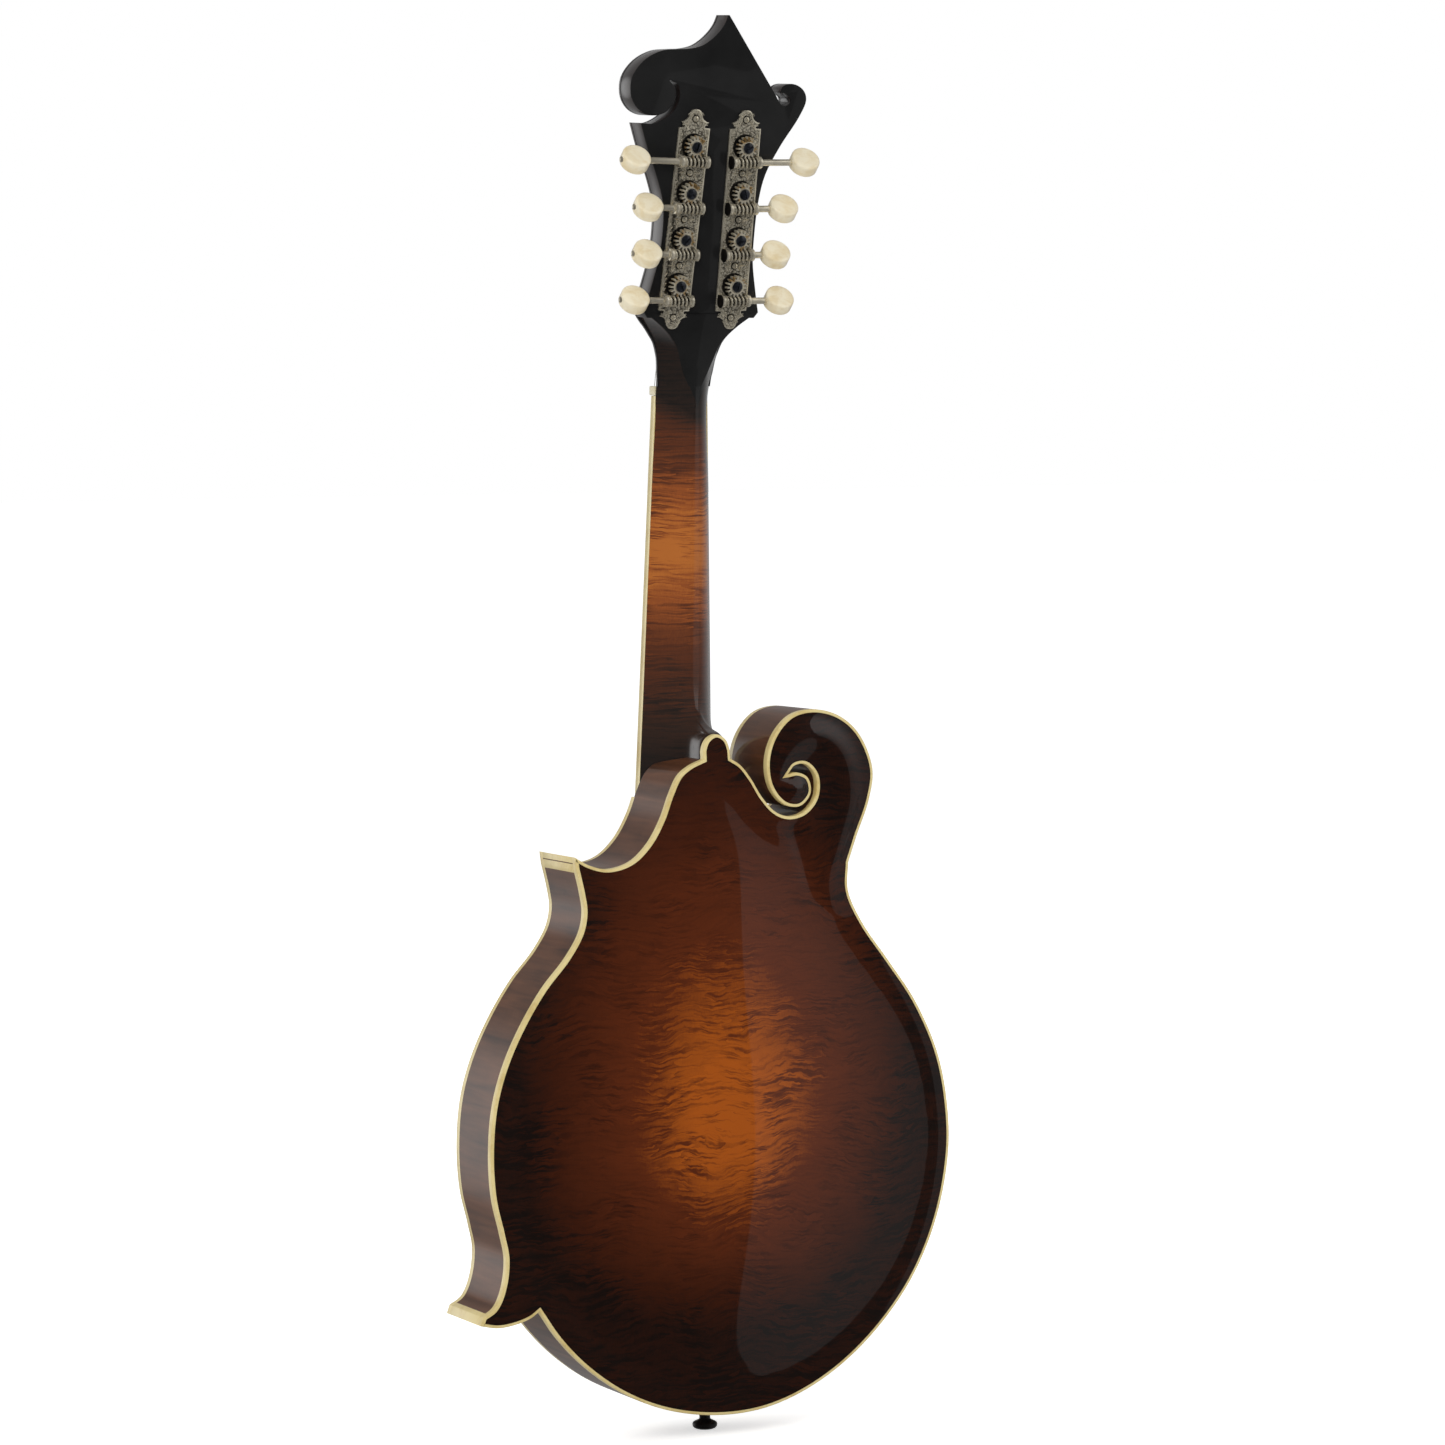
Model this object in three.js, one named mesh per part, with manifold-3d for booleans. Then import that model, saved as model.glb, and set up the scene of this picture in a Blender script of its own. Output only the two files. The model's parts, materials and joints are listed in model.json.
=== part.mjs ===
// An f-style mandolin, in millimetres, with +Z up along the neck and the front towards -Y.
// The scroll is on the bass side at -X and the two points are on the treble side at +X.
// The origin is on the tail end of the body, on the neck's line, half way through the rim.

import * as THREE from 'three';
import { mergeVertices } from 'three/addons/utils/BufferGeometryUtils.js';
import Module from 'manifold-3d';

const wasm = await Module();
wasm.setup();

// Clearances
const glueGap = 0.25;
const runningGap = 0.1;
const overrun = 2;

// Body sizes
const bodyWidth = 252.5;
const bodyLength = 349;
const rimDepth = 43;
const rimWall = 2.8;
const plateEdge = 4;
const plateMiddle = 5;
const backArch = 12;
const topArch = 9;
const archCentreShare = 0.42;
const bindingWidth = 1.5;
const liningWidth = 5;
const liningHeight = 6;
const pointCap = 1.8;
const headBlockFootShare = 0.8108883;
const tailBlockTop = 18;
const tailBlockHalf = 26;
const upperPointInnerShare = 0.2376238;
const upperPointFootShare = 0.739255;
const lowerPointInnerShare = 0.3960396;
const lowerPointTopShare = 0.2578797;
const blockReach = 16;
const barWidth = 6;
const barDrop = 5;
const barBelowBridge = 65;
const barAboveBridge = 79;
const barSpreadFoot = 27;
const barSpreadTop = 15;

// Sound hole sizes
const holeAcross = 60;
const holeAboveBridge = 4;
const holeWidth = 30;
const holeLength = 84;
const upperEye = 3.9;
const lowerEye = 4.8;

// Neck and fingerboard sizes
const scaleLength = 352.4;
const nutAboveBody = 156.4;
const boardFaceAtNut = -20;
const boardRise = 0.059;
const boardThickness = 5;
const boardHalfAtNut = 14.3;
const boardTaper = 0.029;
const fretCount = 22;
const fretHeight = 0.9;
const fretWidth = 1.9;
const boardPastLastFret = 6;
const boardBinding = 1.5;
const nutThickness = 4.4;
const nutProud = 1.6;
const nutOverhang = 0.4;
const neckDepthAtNut = 15.5;
const neckDepthGrowth = 0.0145;
const heelTopDrop = 10.4;
const heelSweep = 33.4;
const heelFootDrop = 51;
const heelBackHalf = 7;
const tenonHalf = 9;
const tenonFlare = 2.5;
const tenonLength = 14;
const tenonDepth = 31;
const rodRadius = 2.4;
const rodLength = 175;
const rodNutRadius = 3.6;
const rodNutLength = 7;
const rodPocketHalf = 5;
const rodPocketDrop = 3.5;
const rodPocketLength = 17;

// Headstock sizes, on its own axes: across, out of its back, and up
const headTilt = 0.242;
const headRiseShare = 863 / 1844;
const headBackShare = 199 / 863;
const headWallSlant = 0.17;
const headCore = 11.3;
const faceVeneer = 2;
const headWidth = 95.8;
const headLength = 184.4;
const headFootShare = -0.2711497;
const faceFootShare = -0.436551;

// Tuning machine sizes
const rowCount = 4;
const rowSpacing = 23;
const topRow = 35.8;
const bankAcross = 14.7;
const bankLean = 0.02;
const plateThickness = 1.2;
const plateWidth = 16.6;
const plateLength = 109;
const plateDrop = 2.2;
const gearTeeth = 15;
const wormLead = 2.1;
const wormPitchRadius = 2.35;
const toothRise = 0.42;
const toothWidth = 0.72;
const toothFlare = 0.24;
const gearThickness = 2.2;
const gearBossRadius = 3.3;
const gearBossHeight = 0.6;
const gearScrewRadius = 2.7;
const gearScrewHeight = 0.9;
const hubRadius = 2.6;
const postRadius = 3;
const postStand = 10.8;
const wormTurns = 4;
const collarWidth = 1.5;
const lugThickness = 1.9;
const shaftRadius = 1.5;
const buttonRadius = 7.3;
const buttonThickness = 7;
const buttonDepth = 4;
const buttonTurn = 0.95;
const buttonReach = [31.7, 22.1, 19.9, 23.9];
const shaftSides = 8;

// Strings
const stringRadii = [0.5, 0.33, 0.2, 0.14];
const courseAtNut = 7.1;
const pairAtNut = 2;
const courseAtSaddle = 12;
const pairAtSaddle = 2.6;
const hookSpacing = 3.5;
const stringOnPost = 5.5;

// Bridge sizes
const bridgeHalf = 51;
const bridgeWidth = 11;
const bridgeFootHeight = 5;
const bridgeFootLength = 30;
const bridgeFootRelief = 1.6;
const saddleHalf = 45;
const saddleWidth = 5;
const saddleCrown = 3;
const saddleFace = -45.8;
const wheelRadius = 5.6;
const wheelThickness = 1.8;
const wheelRidges = 10;
const wheelRidgeDepth = 0.5;
const bridgePostRadius = 1.7;
const bridgePostAcross = 34;
const bridgePostInSaddle = 3.2;
const saddleTravel = 1.5;

// Tailpiece and end pin sizes
const tailTilt = 0.118;
const tailStringHeight = 12;
const tailStringFace = -28.6;
const tailHalf = 15.8;
const tailSheet = 1;
const tailReach = 20;
const tailLegHalf = 13;
const tailLegEnd = -8;
const coverSheet = 0.8;
const coverStand = 3.4;
const coverLength = 34;
const coverFoot = -9;
const hookHalf = 0.6;
const hookHeight = 1.8;
const hookLength = 1.5;
const hookFoot = -6;
const pinAcross = 0;
const pinBack = 0;
const pinLength = 10.6;
const pinFlangeRadius = 6.2;
const pinWaistRadius = 2.7;
const pinBaseRadius = 4.1;
const pinShankRadius = 3.2;
const pinShankLength = 14;

// Values that follow from the sizes above
const halfDepth = rimDepth / 2;
const innerDepth = halfDepth - plateEdge;
const headBlockFoot = bodyLength * headBlockFootShare;
const upperPointInner = bodyWidth * upperPointInnerShare;
const upperPointFoot = bodyLength * upperPointFootShare;
const lowerPointInner = bodyWidth * lowerPointInnerShare;
const lowerPointTop = bodyLength * lowerPointTopShare;
const heelTop = bodyLength - heelTopDrop;
const heelFoot = bodyLength - heelFootDrop;
const nutHeight = bodyLength + nutAboveBody;
const boardTilt = Math.atan(boardRise);
const boardLength = scaleLength * (1 - 2 ** (-fretCount / 12)) + boardPastLastFret;
const bridgeHeight = nutHeight - scaleLength;
const holeUp = bridgeHeight + holeAboveBridge;
const barFoot = bridgeHeight - barBelowBridge;
const barTop = bridgeHeight + barAboveBridge;
const headRise = headLength * headRiseShare;
const headOriginBack = headRise * headBackShare;
const headOriginHeight = nutHeight + headRise;
const headFoot = headLength * headFootShare;
const faceFoot = headLength * faceFootShare;
const rodPocketFoot = faceFoot - rodPocketDrop;
const rodPocketTop = rodPocketFoot + rodPocketLength;
const plateMiddleHeight = topRow - rowSpacing * (rowCount - 1) / 2 - plateDrop;
const gearPitchRadius = gearTeeth * wormLead / (2 * Math.PI);
const wormHeight = plateThickness + glueGap * 2 + wormPitchRadius + toothRise;
const wormDrop = gearPitchRadius + wormPitchRadius;
const headThickness = headCore + faceVeneer + glueGap;
const domeTop = -halfDepth - topArch;

// Body outline as shares of the body's width and length, in stretches that meet at corners
const bassSideShares = [
  [0.393, 0.173], [0.352, 0.130], [0.292, 0.085], [0.213, 0.044], [0.116, 0.014], [0, 0], [-0.107, 0.006],
  [-0.218, 0.036], [-0.325, 0.090], [-0.420, 0.168], [-0.479, 0.255], [-0.508, 0.352], [-0.505, 0.427],
  [-0.483, 0.500], [-0.434, 0.575], [-0.375, 0.635], [-0.316, 0.693], [-0.286, 0.739], [-0.287, 0.779],
];
const scrollShares = [
  [-0.287, 0.779], [-0.307, 0.818], [-0.334, 0.867], [-0.343, 0.911], [-0.315, 0.961], [-0.271, 0.989],
  [-0.215, 1.000], [-0.164, 0.993], [-0.127, 0.967], [-0.109, 0.931], [-0.116, 0.892], [-0.147, 0.866],
  [-0.182, 0.863], [-0.205, 0.881], [-0.199, 0.903], [-0.176, 0.911], [-0.155, 0.909],
];
const slotShares = [
  [-0.155, 0.909], [-0.170, 0.921], [-0.194, 0.922], [-0.216, 0.905], [-0.215, 0.875], [-0.191, 0.855],
  [-0.158, 0.849], [-0.128, 0.856], [-0.099, 0.877], [-0.074, 0.905], [-0.051, 0.925], [-0.029, 0.935],
];
const buttonShares = [
  [-0.029, 0.935], [-0.027, 0.949], [-0.018, 0.963], [0.001, 0.970], [0.020, 0.963], [0.029, 0.949],
  [0.029, 0.935],
];
const shoulderShares = [
  [0.029, 0.935], [0.059, 0.926], [0.082, 0.913], [0.101, 0.887], [0.120, 0.853], [0.149, 0.819],
  [0.188, 0.795], [0.237, 0.787], [0.277, 0.794], [0.307, 0.806],
];
const trebleSideShares = [
  [0.304, 0.789], [0.293, 0.755], [0.288, 0.728], [0.296, 0.700], [0.325, 0.666], [0.376, 0.624],
  [0.425, 0.570], [0.461, 0.516], [0.483, 0.461], [0.491, 0.395], [0.486, 0.335], [0.470, 0.285],
  [0.461, 0.249], [0.469, 0.208], [0.486, 0.183], [0.510, 0.172],
];
const underPointShares = [[0.516, 0.160], [0.479, 0.155], [0.440, 0.158], [0.410, 0.165], [0.393, 0.173]];

// Headstock outline as shares of its width and length
const headFootShares = [
  [0.154, -0.437], [0.157, -0.429], [0.168, -0.386], [0.178, -0.368], [0.196, -0.343], [0.224, -0.322],
  [0.255, -0.301], [0.286, -0.283], [0.326, -0.256],
];
const headCurlShares = [
  [-0.326, -0.256], [-0.297, -0.194], [-0.267, -0.118], [-0.260, -0.043], [-0.264, 0.043], [-0.288, 0.117],
  [-0.356, 0.194], [-0.448, 0.274], [-0.480, 0.319], [-0.465, 0.343], [-0.424, 0.359], [-0.377, 0.363],
  [-0.338, 0.355], [-0.326, 0.339],
];
const headEyeShares = [
  [-0.326, 0.339], [-0.357, 0.336], [-0.386, 0.326], [-0.388, 0.312], [-0.365, 0.304], [-0.337, 0.309],
  [-0.303, 0.332],
];
const headLobeShares = [
  [0.010, 0.541], [0.023, 0.520], [0.046, 0.500], [0.088, 0.477], [0.140, 0.459], [0.208, 0.450],
  [0.270, 0.448], [0.367, 0.442], [0.459, 0.415], [0.515, 0.370], [0.509, 0.319], [0.457, 0.284], [0.380, 0.271], [0.309, 0.281],
  [0.269, 0.309], [0.267, 0.342], [0.309, 0.367],
];
const headSlotShares = [
  [0.309, 0.367], [0.257, 0.355], [0.239, 0.323], [0.260, 0.289], [0.313, 0.264], [0.376, 0.250],
  [0.443, 0.251],
];
const headLobeSideShares = [
  [0.443, 0.251], [0.392, 0.184], [0.318, 0.100], [0.275, 0.034], [0.263, -0.043], [0.273, -0.119],
  [0.299, -0.190], [0.326, -0.256],
];
const headTipShares = [[-0.303, 0.332], [0.003, 0.541]];

// The black back of the headstock's foot, as shares of the headstock's width and length
const headBackShares = [
  [0.040, -0.457], [0.062, -0.429], [0.088, -0.395], [0.102, -0.370], [0.129, -0.338], [0.158, -0.322],
  [0.200, -0.301], [0.262, -0.275], [0.326, -0.256],
];

// One quarter of a tuner plate's ornate end, as shares of the plate's width and length
const plateEndShares = [
  [0.5, 0.408], [0.33, 0.410], [0.32, 0.424], [0.50, 0.443], [0.33, 0.452], [0.21, 0.468], [0.18, 0.485],
  [0.10, 0.497], [0, 0.500],
];

// Half of the stem of a sound hole, as shares of the hole's width and length
const stemShares = [
  [-0.40, 0.46], [-0.24, 0.50], [-0.08, 0.485], [0.04, 0.43], [0.10, 0.33], [0.11, 0.15], [0.10, -0.05],
  [0.07, -0.22], [0.04, -0.34], [0.08, -0.42], [0.20, -0.455], [0.38, -0.45],
];
const lowerEyeShares = [0.42, -0.45];
const upperEyeShares = [-0.42, 0.43];

// The arch from its edge to its crown, as shares of its reach and of its height
const archShares = [[1, 0], [0.9, 0.04], [0.74, 0.26], [0.52, 0.62], [0.27, 0.91]];

// The heel's sweep above the button, as shares of its length, its rise and the button's half width
const heelSweepShares = [
  [0.01, 0.96, 0.5], [0.07, 0.68, 0.4], [0.18, 0.40, 0.26], [0.36, 0.18, 0.1], [0.62, 0.04, 0], [1, 0, 0],
];
const heelButtonShares = [[0.05, 1], [0.2, 1], [0.6, 0.95], [0.85, 0.78], [0.97, 0.56]];

// The neck's back and the heel's, from the fingerboard out, as shares of the depth and of the width
const neckBackShares = [[0.22, 0.87], [0.46, 0.73], [0.68, 0.57], [0.85, 0.39], [0.96, 0.18]];
const heelBackShares = [[0.22, 0.80], [0.46, 0.56], [0.68, 0.35], [0.85, 0.18], [0.96, 0.07]];

// Solids

function solidOf(geometry) {
  const clean = geometry.clone();
  clean.deleteAttribute('normal');
  if (clean.attributes.uv) clean.deleteAttribute('uv');
  const merged = mergeVertices(clean);
  return new wasm.Manifold(new wasm.Mesh({
    numProp: 3,
    vertProperties: new Float32Array(merged.attributes.position.array),
    triVerts: new Uint32Array(merged.index.array),
  }));
}

function geometryOf(solid) {
  const mesh = solid.getMesh();
  const geometry = new THREE.BufferGeometry();
  geometry.setAttribute('position', new THREE.BufferAttribute(mesh.vertProperties, 3));
  geometry.setIndex(new THREE.BufferAttribute(mesh.triVerts, 1));
  geometry.computeVertexNormals();
  return geometry;
}

function join(first, ...rest) {
  return rest.reduce((all, next) => all.add(next), first);
}

function cut(first, ...rest) {
  return rest.reduce((left, next) => left.subtract(next), first);
}

// A closed surface from points and faces, with its faces turned outwards.
function closedSurface(points, faces) {
  let volume = 0;
  for (const [a, b, c] of faces) volume += points[a].dot(points[b].clone().cross(points[c]));
  const geometry = new THREE.BufferGeometry();
  geometry.setFromPoints(points);
  geometry.setIndex(volume > 0 ? faces.flat() : faces.flatMap(([a, b, c]) => [a, c, b]));
  return geometry;
}

// Rings of points joined one to the next, with a flat fan across each end.
function ringSurface(rings) {
  const count = rings[0].length;
  const points = rings.flat();
  const faces = [];
  for (let ring = 0; ring < rings.length - 1; ring += 1) {
    for (let i = 0; i < count; i += 1) {
      const a = ring * count + i;
      const b = ring * count + (i + 1) % count;
      faces.push([a, b, a + count], [b, b + count, a + count]);
    }
  }
  const last = (rings.length - 1) * count;
  for (let i = 1; i < count - 1; i += 1) {
    faces.push([0, i + 1, i], [last, last + i, last + i + 1]);
  }
  return closedSurface(points, faces);
}

function box(xRange, yRange, zRange) {
  const size = [xRange, yRange, zRange].map(([low, high]) => high - low);
  const geometry = new THREE.BoxGeometry(...size);
  geometry.translate(...[xRange, yRange, zRange].map(([low, high]) => (low + high) / 2));
  return solidOf(geometry);
}

// A cylinder from a start along one of the axes, its radius measured to its corners.
function rod(axis, radius, start, length, sides) {
  const geometry = new THREE.CylinderGeometry(radius, radius, length, sides);
  geometry.translate(0, length / 2, 0);
  if (axis === 'x') geometry.rotateZ(-Math.PI / 2);
  if (axis === 'z') geometry.rotateX(Math.PI / 2);
  geometry.translate(...start);
  return solidOf(geometry);
}

// The corner radius of a bore whose flats lie at a set radius.
function flatsAt(radius, sides) {
  return radius / Math.cos(Math.PI / sides);
}

// An outline in the XZ plane made thick from its front to its back along Y.
function slabGeometry(outline, front, back) {
  const shape = new THREE.Shape(outline);
  const geometry = new THREE.ExtrudeGeometry(shape, { depth: back - front, bevelEnabled: false });
  geometry.rotateX(Math.PI / 2);
  geometry.translate(0, back, 0);
  return geometry;
}

function slab(outline, front, back) {
  return solidOf(slabGeometry(outline, front, back));
}

// Outlines

function scaled(shares, width, length) {
  return shares.map(([x, z]) => new THREE.Vector2(x * width, z * length));
}

// A smooth line through points, in equal steps between them and without its last point.
function smooth(points, stepsEach) {
  const curve = new THREE.CatmullRomCurve3(
    points.map((p) => new THREE.Vector3(p.x, p.y, 0)), false, 'centripetal');
  const line = curve.getPoints(Math.round((points.length - 1) * stepsEach));
  return line.slice(0, -1).map((p) => new THREE.Vector2(p.x, p.y));
}

function crossing(a, b, c, d) {
  const ab = b.clone().sub(a);
  const cd = d.clone().sub(c);
  const turn = ab.cross(cd);
  if (Math.abs(turn) < Number.EPSILON) return null;
  const ac = c.clone().sub(a);
  const along = ac.cross(cd) / turn;
  const across = ac.cross(ab) / turn;
  if (along <= 0 || along >= 1 || across <= 0 || across >= 1) return null;
  return a.clone().addScaledVector(ab, along);
}

// Cuts off the small loops that an inset leaves at tight corners.
function withoutLoops(points) {
  let line = points;
  for (let start = 0; start < line.length; start += 1) {
    for (let end = start + 2; end < start + line.length / 2; end += 1) {
      const n = line.length;
      const turned = line.slice(start).concat(line.slice(0, start));
      const reach = end - start;
      const meet = crossing(turned[0], turned[1], turned[reach], turned[(reach + 1) % n]);
      if (meet) {
        line = [turned[0], meet, ...turned.slice(reach + 1)];
        start = 0;
        end = start + 1;
      }
    }
  }
  return line;
}

// An outline moved inwards by a distance, or outwards by a negative one, with mitred corners.
function inset(points, distance) {
  const inward = THREE.ShapeUtils.isClockWise(points) ? 1 : -1;
  const n = points.length;
  const mitreShare = 0.4;
  const moved = points.map((point, i) => {
    const into = point.clone().sub(points[(i + n - 1) % n]).normalize();
    const away = points[(i + 1) % n].clone().sub(point).normalize();
    const first = new THREE.Vector2(into.y, -into.x);
    const second = new THREE.Vector2(away.y, -away.x);
    const middle = first.clone().add(second).normalize();
    const reach = distance * inward / Math.max(middle.dot(first), mitreShare);
    return point.clone().addScaledVector(middle, reach);
  });
  return withoutLoops(moved);
}

const bassSide = smooth(scaled(bassSideShares, bodyWidth, bodyLength), 1.2);
const scroll = smooth(scaled(scrollShares, bodyWidth, bodyLength), 1.25);
const slot = smooth(scaled(slotShares, bodyWidth, bodyLength), 1.2);
const heelButton = smooth(scaled(buttonShares, bodyWidth, bodyLength), 1.2);
const shoulder = smooth(scaled(shoulderShares, bodyWidth, bodyLength), 1.1);
const trebleSide = smooth(scaled(trebleSideShares, bodyWidth, bodyLength), 1.1);
const underPoint = smooth(scaled(underPointShares, bodyWidth, bodyLength), 1);
const upperPointBack = scaled(shoulderShares.slice(-1), bodyWidth, bodyLength);
const lowerPointTip = scaled(trebleSideShares.slice(-1), bodyWidth, bodyLength);

const backOutline = [...bassSide, ...scroll, ...slot, ...heelButton, ...shoulder, ...upperPointBack,
  ...trebleSide, ...lowerPointTip, ...underPoint];
const topOutline = [...bassSide, ...scroll, ...slot, heelButton[0], ...shoulder, ...upperPointBack,
  ...trebleSide, ...lowerPointTip, ...underPoint];

// The hollow's outline: the rim's inner line, carried straight past the blocks at the points,
// the tail and the neck.
function hollowOutline(depth) {
  const kept = inset(topOutline, depth).filter((p) => p.y < headBlockFoot
    && !(p.x > upperPointInner && p.y > upperPointFoot)
    && !(p.x > lowerPointInner && p.y < lowerPointTop));
  return kept.map((p) => (Math.abs(p.x) < tailBlockHalf && p.y < tailBlockTop
    ? new THREE.Vector2(p.x, tailBlockTop) : p));
}

const hollow = hollowOutline(rimWall);

// A carved arch over an outline, rising from a flat seat towards the front or the back.
function arch(edge, height, seat, direction) {
  const centre = new THREE.Vector2(0, archCentreShare * bodyLength);
  const points = [];
  const faces = [];
  const n = edge.length;
  for (const [reach, rise] of archShares) {
    for (const p of edge) {
      const at = centre.clone().lerp(p, reach);
      points.push(new THREE.Vector3(at.x, seat + direction * rise * height, at.y));
    }
  }
  const foot = points.length;
  for (const p of edge) points.push(new THREE.Vector3(p.x, seat - direction * plateEdge / 4, p.y));
  const crown = points.length;
  points.push(new THREE.Vector3(centre.x, seat + direction * height, centre.y));
  const base = points.length;
  points.push(new THREE.Vector3(centre.x, seat - direction * plateEdge / 4, centre.y));
  for (let i = 0; i < n; i += 1) {
    const next = (i + 1) % n;
    for (let ring = 0; ring < archShares.length - 1; ring += 1) {
      const a = ring * n + i;
      const b = ring * n + next;
      faces.push([a, b, a + n], [b, b + n, a + n]);
    }
    const last = (archShares.length - 1) * n;
    faces.push([last + i, last + next, crown]);
    faces.push([next, i, foot + i], [next, foot + i, foot + next]);
    faces.push([foot + next, foot + i, base]);
  }
  return solidOf(closedSurface(points, faces));
}

function everySecond(points) {
  return points.filter((p, i) => i % 2 === 0);
}

const archEdge = everySecond(inset(hollow, bindingWidth));
const innerArchEdge = everySecond(inset(hollow, liningWidth + bindingWidth));
const backInnerRise = backArch - (plateMiddle - plateEdge);
const topInnerRise = topArch - (plateMiddle - plateEdge);

// Materials
function finish(color, roughness, metalness = 0) {
  return new THREE.MeshStandardMaterial({ color, roughness, metalness });
}

const backMaple = finish(0x8a3d12, 0.15);
const sideMaple = finish(0x4a2414, 0.2);
const neckMaple = finish(0x6a2c12, 0.2);
const spruce = finish(0xa85a20, 0.2);
const innerWood = finish(0xc9a878, 0.7);
const cream = finish(0xe6d796, 0.35);
const ebony = finish(0x1c1816, 0.4);
const blackGloss = finish(0x141414, 0.12);
const nickel = finish(0xa39a86, 0.35, 1);
const steel = finish(0xb8b8b6, 0.3, 1);
const bronze = finish(0xb98a4a, 0.3, 1);
const ivory = finish(0xefe6c4, 0.3);
const boneWhite = finish(0xe8e0c4, 0.4);

const mandolin = new THREE.Group();

function place(parent, name, geometry, material) {
  const mesh = new THREE.Mesh(geometry, material);
  mesh.name = name;
  parent.add(mesh);
  return mesh;
}

// Sound holes

function soundHole(side) {
  const at = ([x, z]) => new THREE.Vector2(
    side * (holeAcross + x * holeWidth), holeUp + z * holeLength);
  const front = domeTop - overrun;
  const length = -innerDepth + overrun - front;
  const eye = (shares, radius) => {
    const middle = at(shares);
    return rod('y', radius, [middle.x, front, middle.y], length, 12);
  };
  const stem = [...stemShares, ...stemShares.map(([x, z]) => [-x, -z])];
  return join(slab(stem.map(at), front, front + length), eye(lowerEyeShares, lowerEye),
    eye(upperEyeShares, upperEye));
}

// Plates

function backPlate() {
  const flat = slab(inset(backOutline, bindingWidth + glueGap), innerDepth, halfDepth);
  const outer = arch(archEdge, backArch, halfDepth, 1);
  const inner = arch(innerArchEdge, backInnerRise, innerDepth, 1);
  return cut(join(flat, outer), inner);
}

function topPlate() {
  const flat = slab(inset(topOutline, bindingWidth + glueGap), -halfDepth, -innerDepth);
  const outer = arch(archEdge, topArch, -halfDepth, -1);
  const inner = arch(innerArchEdge, topInnerRise, -innerDepth, -1);
  return cut(join(flat, outer), inner, soundHole(1), soundHole(-1));
}

// Rim with the lining along each of its edges

const tenonTop = shoulderShares[0][1] * bodyLength;
const tenonFoot = tenonTop - tenonLength;

function tenonOutline(clearance) {
  const low = tenonFoot - clearance;
  const high = tenonTop + overrun;
  const wide = tenonHalf + tenonFlare + clearance;
  const narrow = tenonHalf + clearance;
  return [[-wide, low], [wide, low], [narrow, high], [-narrow, high]]
    .map(([x, z]) => new THREE.Vector2(x, z));
}

// The blunt end of a point, from its outer corner to its inner one, as a box of a set depth.
function endPiece(from, to, depth, front, back) {
  const along = to.clone().sub(from).normalize();
  const inward = new THREE.Vector2(along.y, -along.x);
  const reach = (point, stretch, deep) => point.clone()
    .addScaledVector(along, stretch).addScaledVector(inward, deep);
  return slab([reach(from, -overrun, -overrun), reach(to, overrun, -overrun),
    reach(to, overrun, depth), reach(from, -overrun, depth)], front, back);
}

const upperPointEnds = [upperPointBack[0], trebleSide[0]];
const lowerPointEnds = [lowerPointTip[0], underPoint[0]];

function pinHole(clearance) {
  return rod('z', pinShankRadius + clearance, [pinAcross, pinBack, -overrun],
    tailBlockTop + overrun * 2, 12);
}

function rim() {
  const outside = slab(topOutline, -innerDepth, innerDepth);
  const wall = cut(outside, slab(inset(topOutline, rimWall), -halfDepth, halfDepth));
  const liningOuter = hollowOutline(rimWall / 2);
  const liningInner = inset(hollow, liningWidth);
  const lining = (front) => cut(slab(liningOuter, front, front + liningHeight),
    slab(liningInner, -halfDepth, halfDepth));
  return cut(join(wall, lining(-innerDepth), lining(innerDepth - liningHeight)),
    slab(tenonOutline(glueGap), -halfDepth, halfDepth),
    endPiece(...upperPointEnds, pointCap + glueGap, -halfDepth, halfDepth),
    endPiece(...lowerPointEnds, pointCap + glueGap, -halfDepth, halfDepth),
    pinHole(glueGap));
}

function pointCapSolid(ends) {
  return slab(topOutline, -innerDepth, innerDepth)
    .intersect(endPiece(...ends, pointCap, -halfDepth, halfDepth));
}

function edgeBinding(outline, front, back) {
  return cut(slab(outline, front, back), slab(inset(outline, bindingWidth), -rimDepth, rimDepth));
}

// The top binding stops on each side of the neck.
function topBinding() {
  const full = edgeBinding(topOutline, -halfDepth, -innerDepth);
  const bassEnd = -0.055 * bodyWidth;
  const trebleEnd = 0.106 * bodyWidth;
  const foot = 0.875 * bodyLength;
  const neckSpace = box([bassEnd, trebleEnd], [-rimDepth, rimDepth], [foot, bodyLength]);
  return cut(full, neckSpace);
}

// Blocks glued inside the rim

const blockStock = slab(inset(topOutline, rimWall + glueGap), -innerDepth, innerDepth);
const liningSpace = slab(inset(hollowOutline(rimWall / 2), -glueGap), -halfDepth, halfDepth);

function block(xRange, zRange) {
  return cut(blockStock.intersect(box(xRange, [-rimDepth, rimDepth], zRange)), liningSpace);
}

function headBlock() {
  const mortise = slab(tenonOutline(glueGap), -halfDepth,
    -innerDepth + tenonDepth + glueGap * 2);
  return cut(block([-bodyWidth, bodyWidth], [headBlockFoot + glueGap, bodyLength]), mortise);
}

function tailBlock() {
  return cut(block([-tailBlockHalf, tailBlockHalf], [-overrun, tailBlockTop]), pinHole(glueGap));
}

function upperPointBlock() {
  return block([upperPointInner - blockReach, bodyWidth],
    [upperPointFoot - blockReach, headBlockFoot]);
}

function lowerPointBlock() {
  return block([lowerPointInner - blockReach, bodyWidth], [0, lowerPointTop + blockReach]);
}

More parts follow.
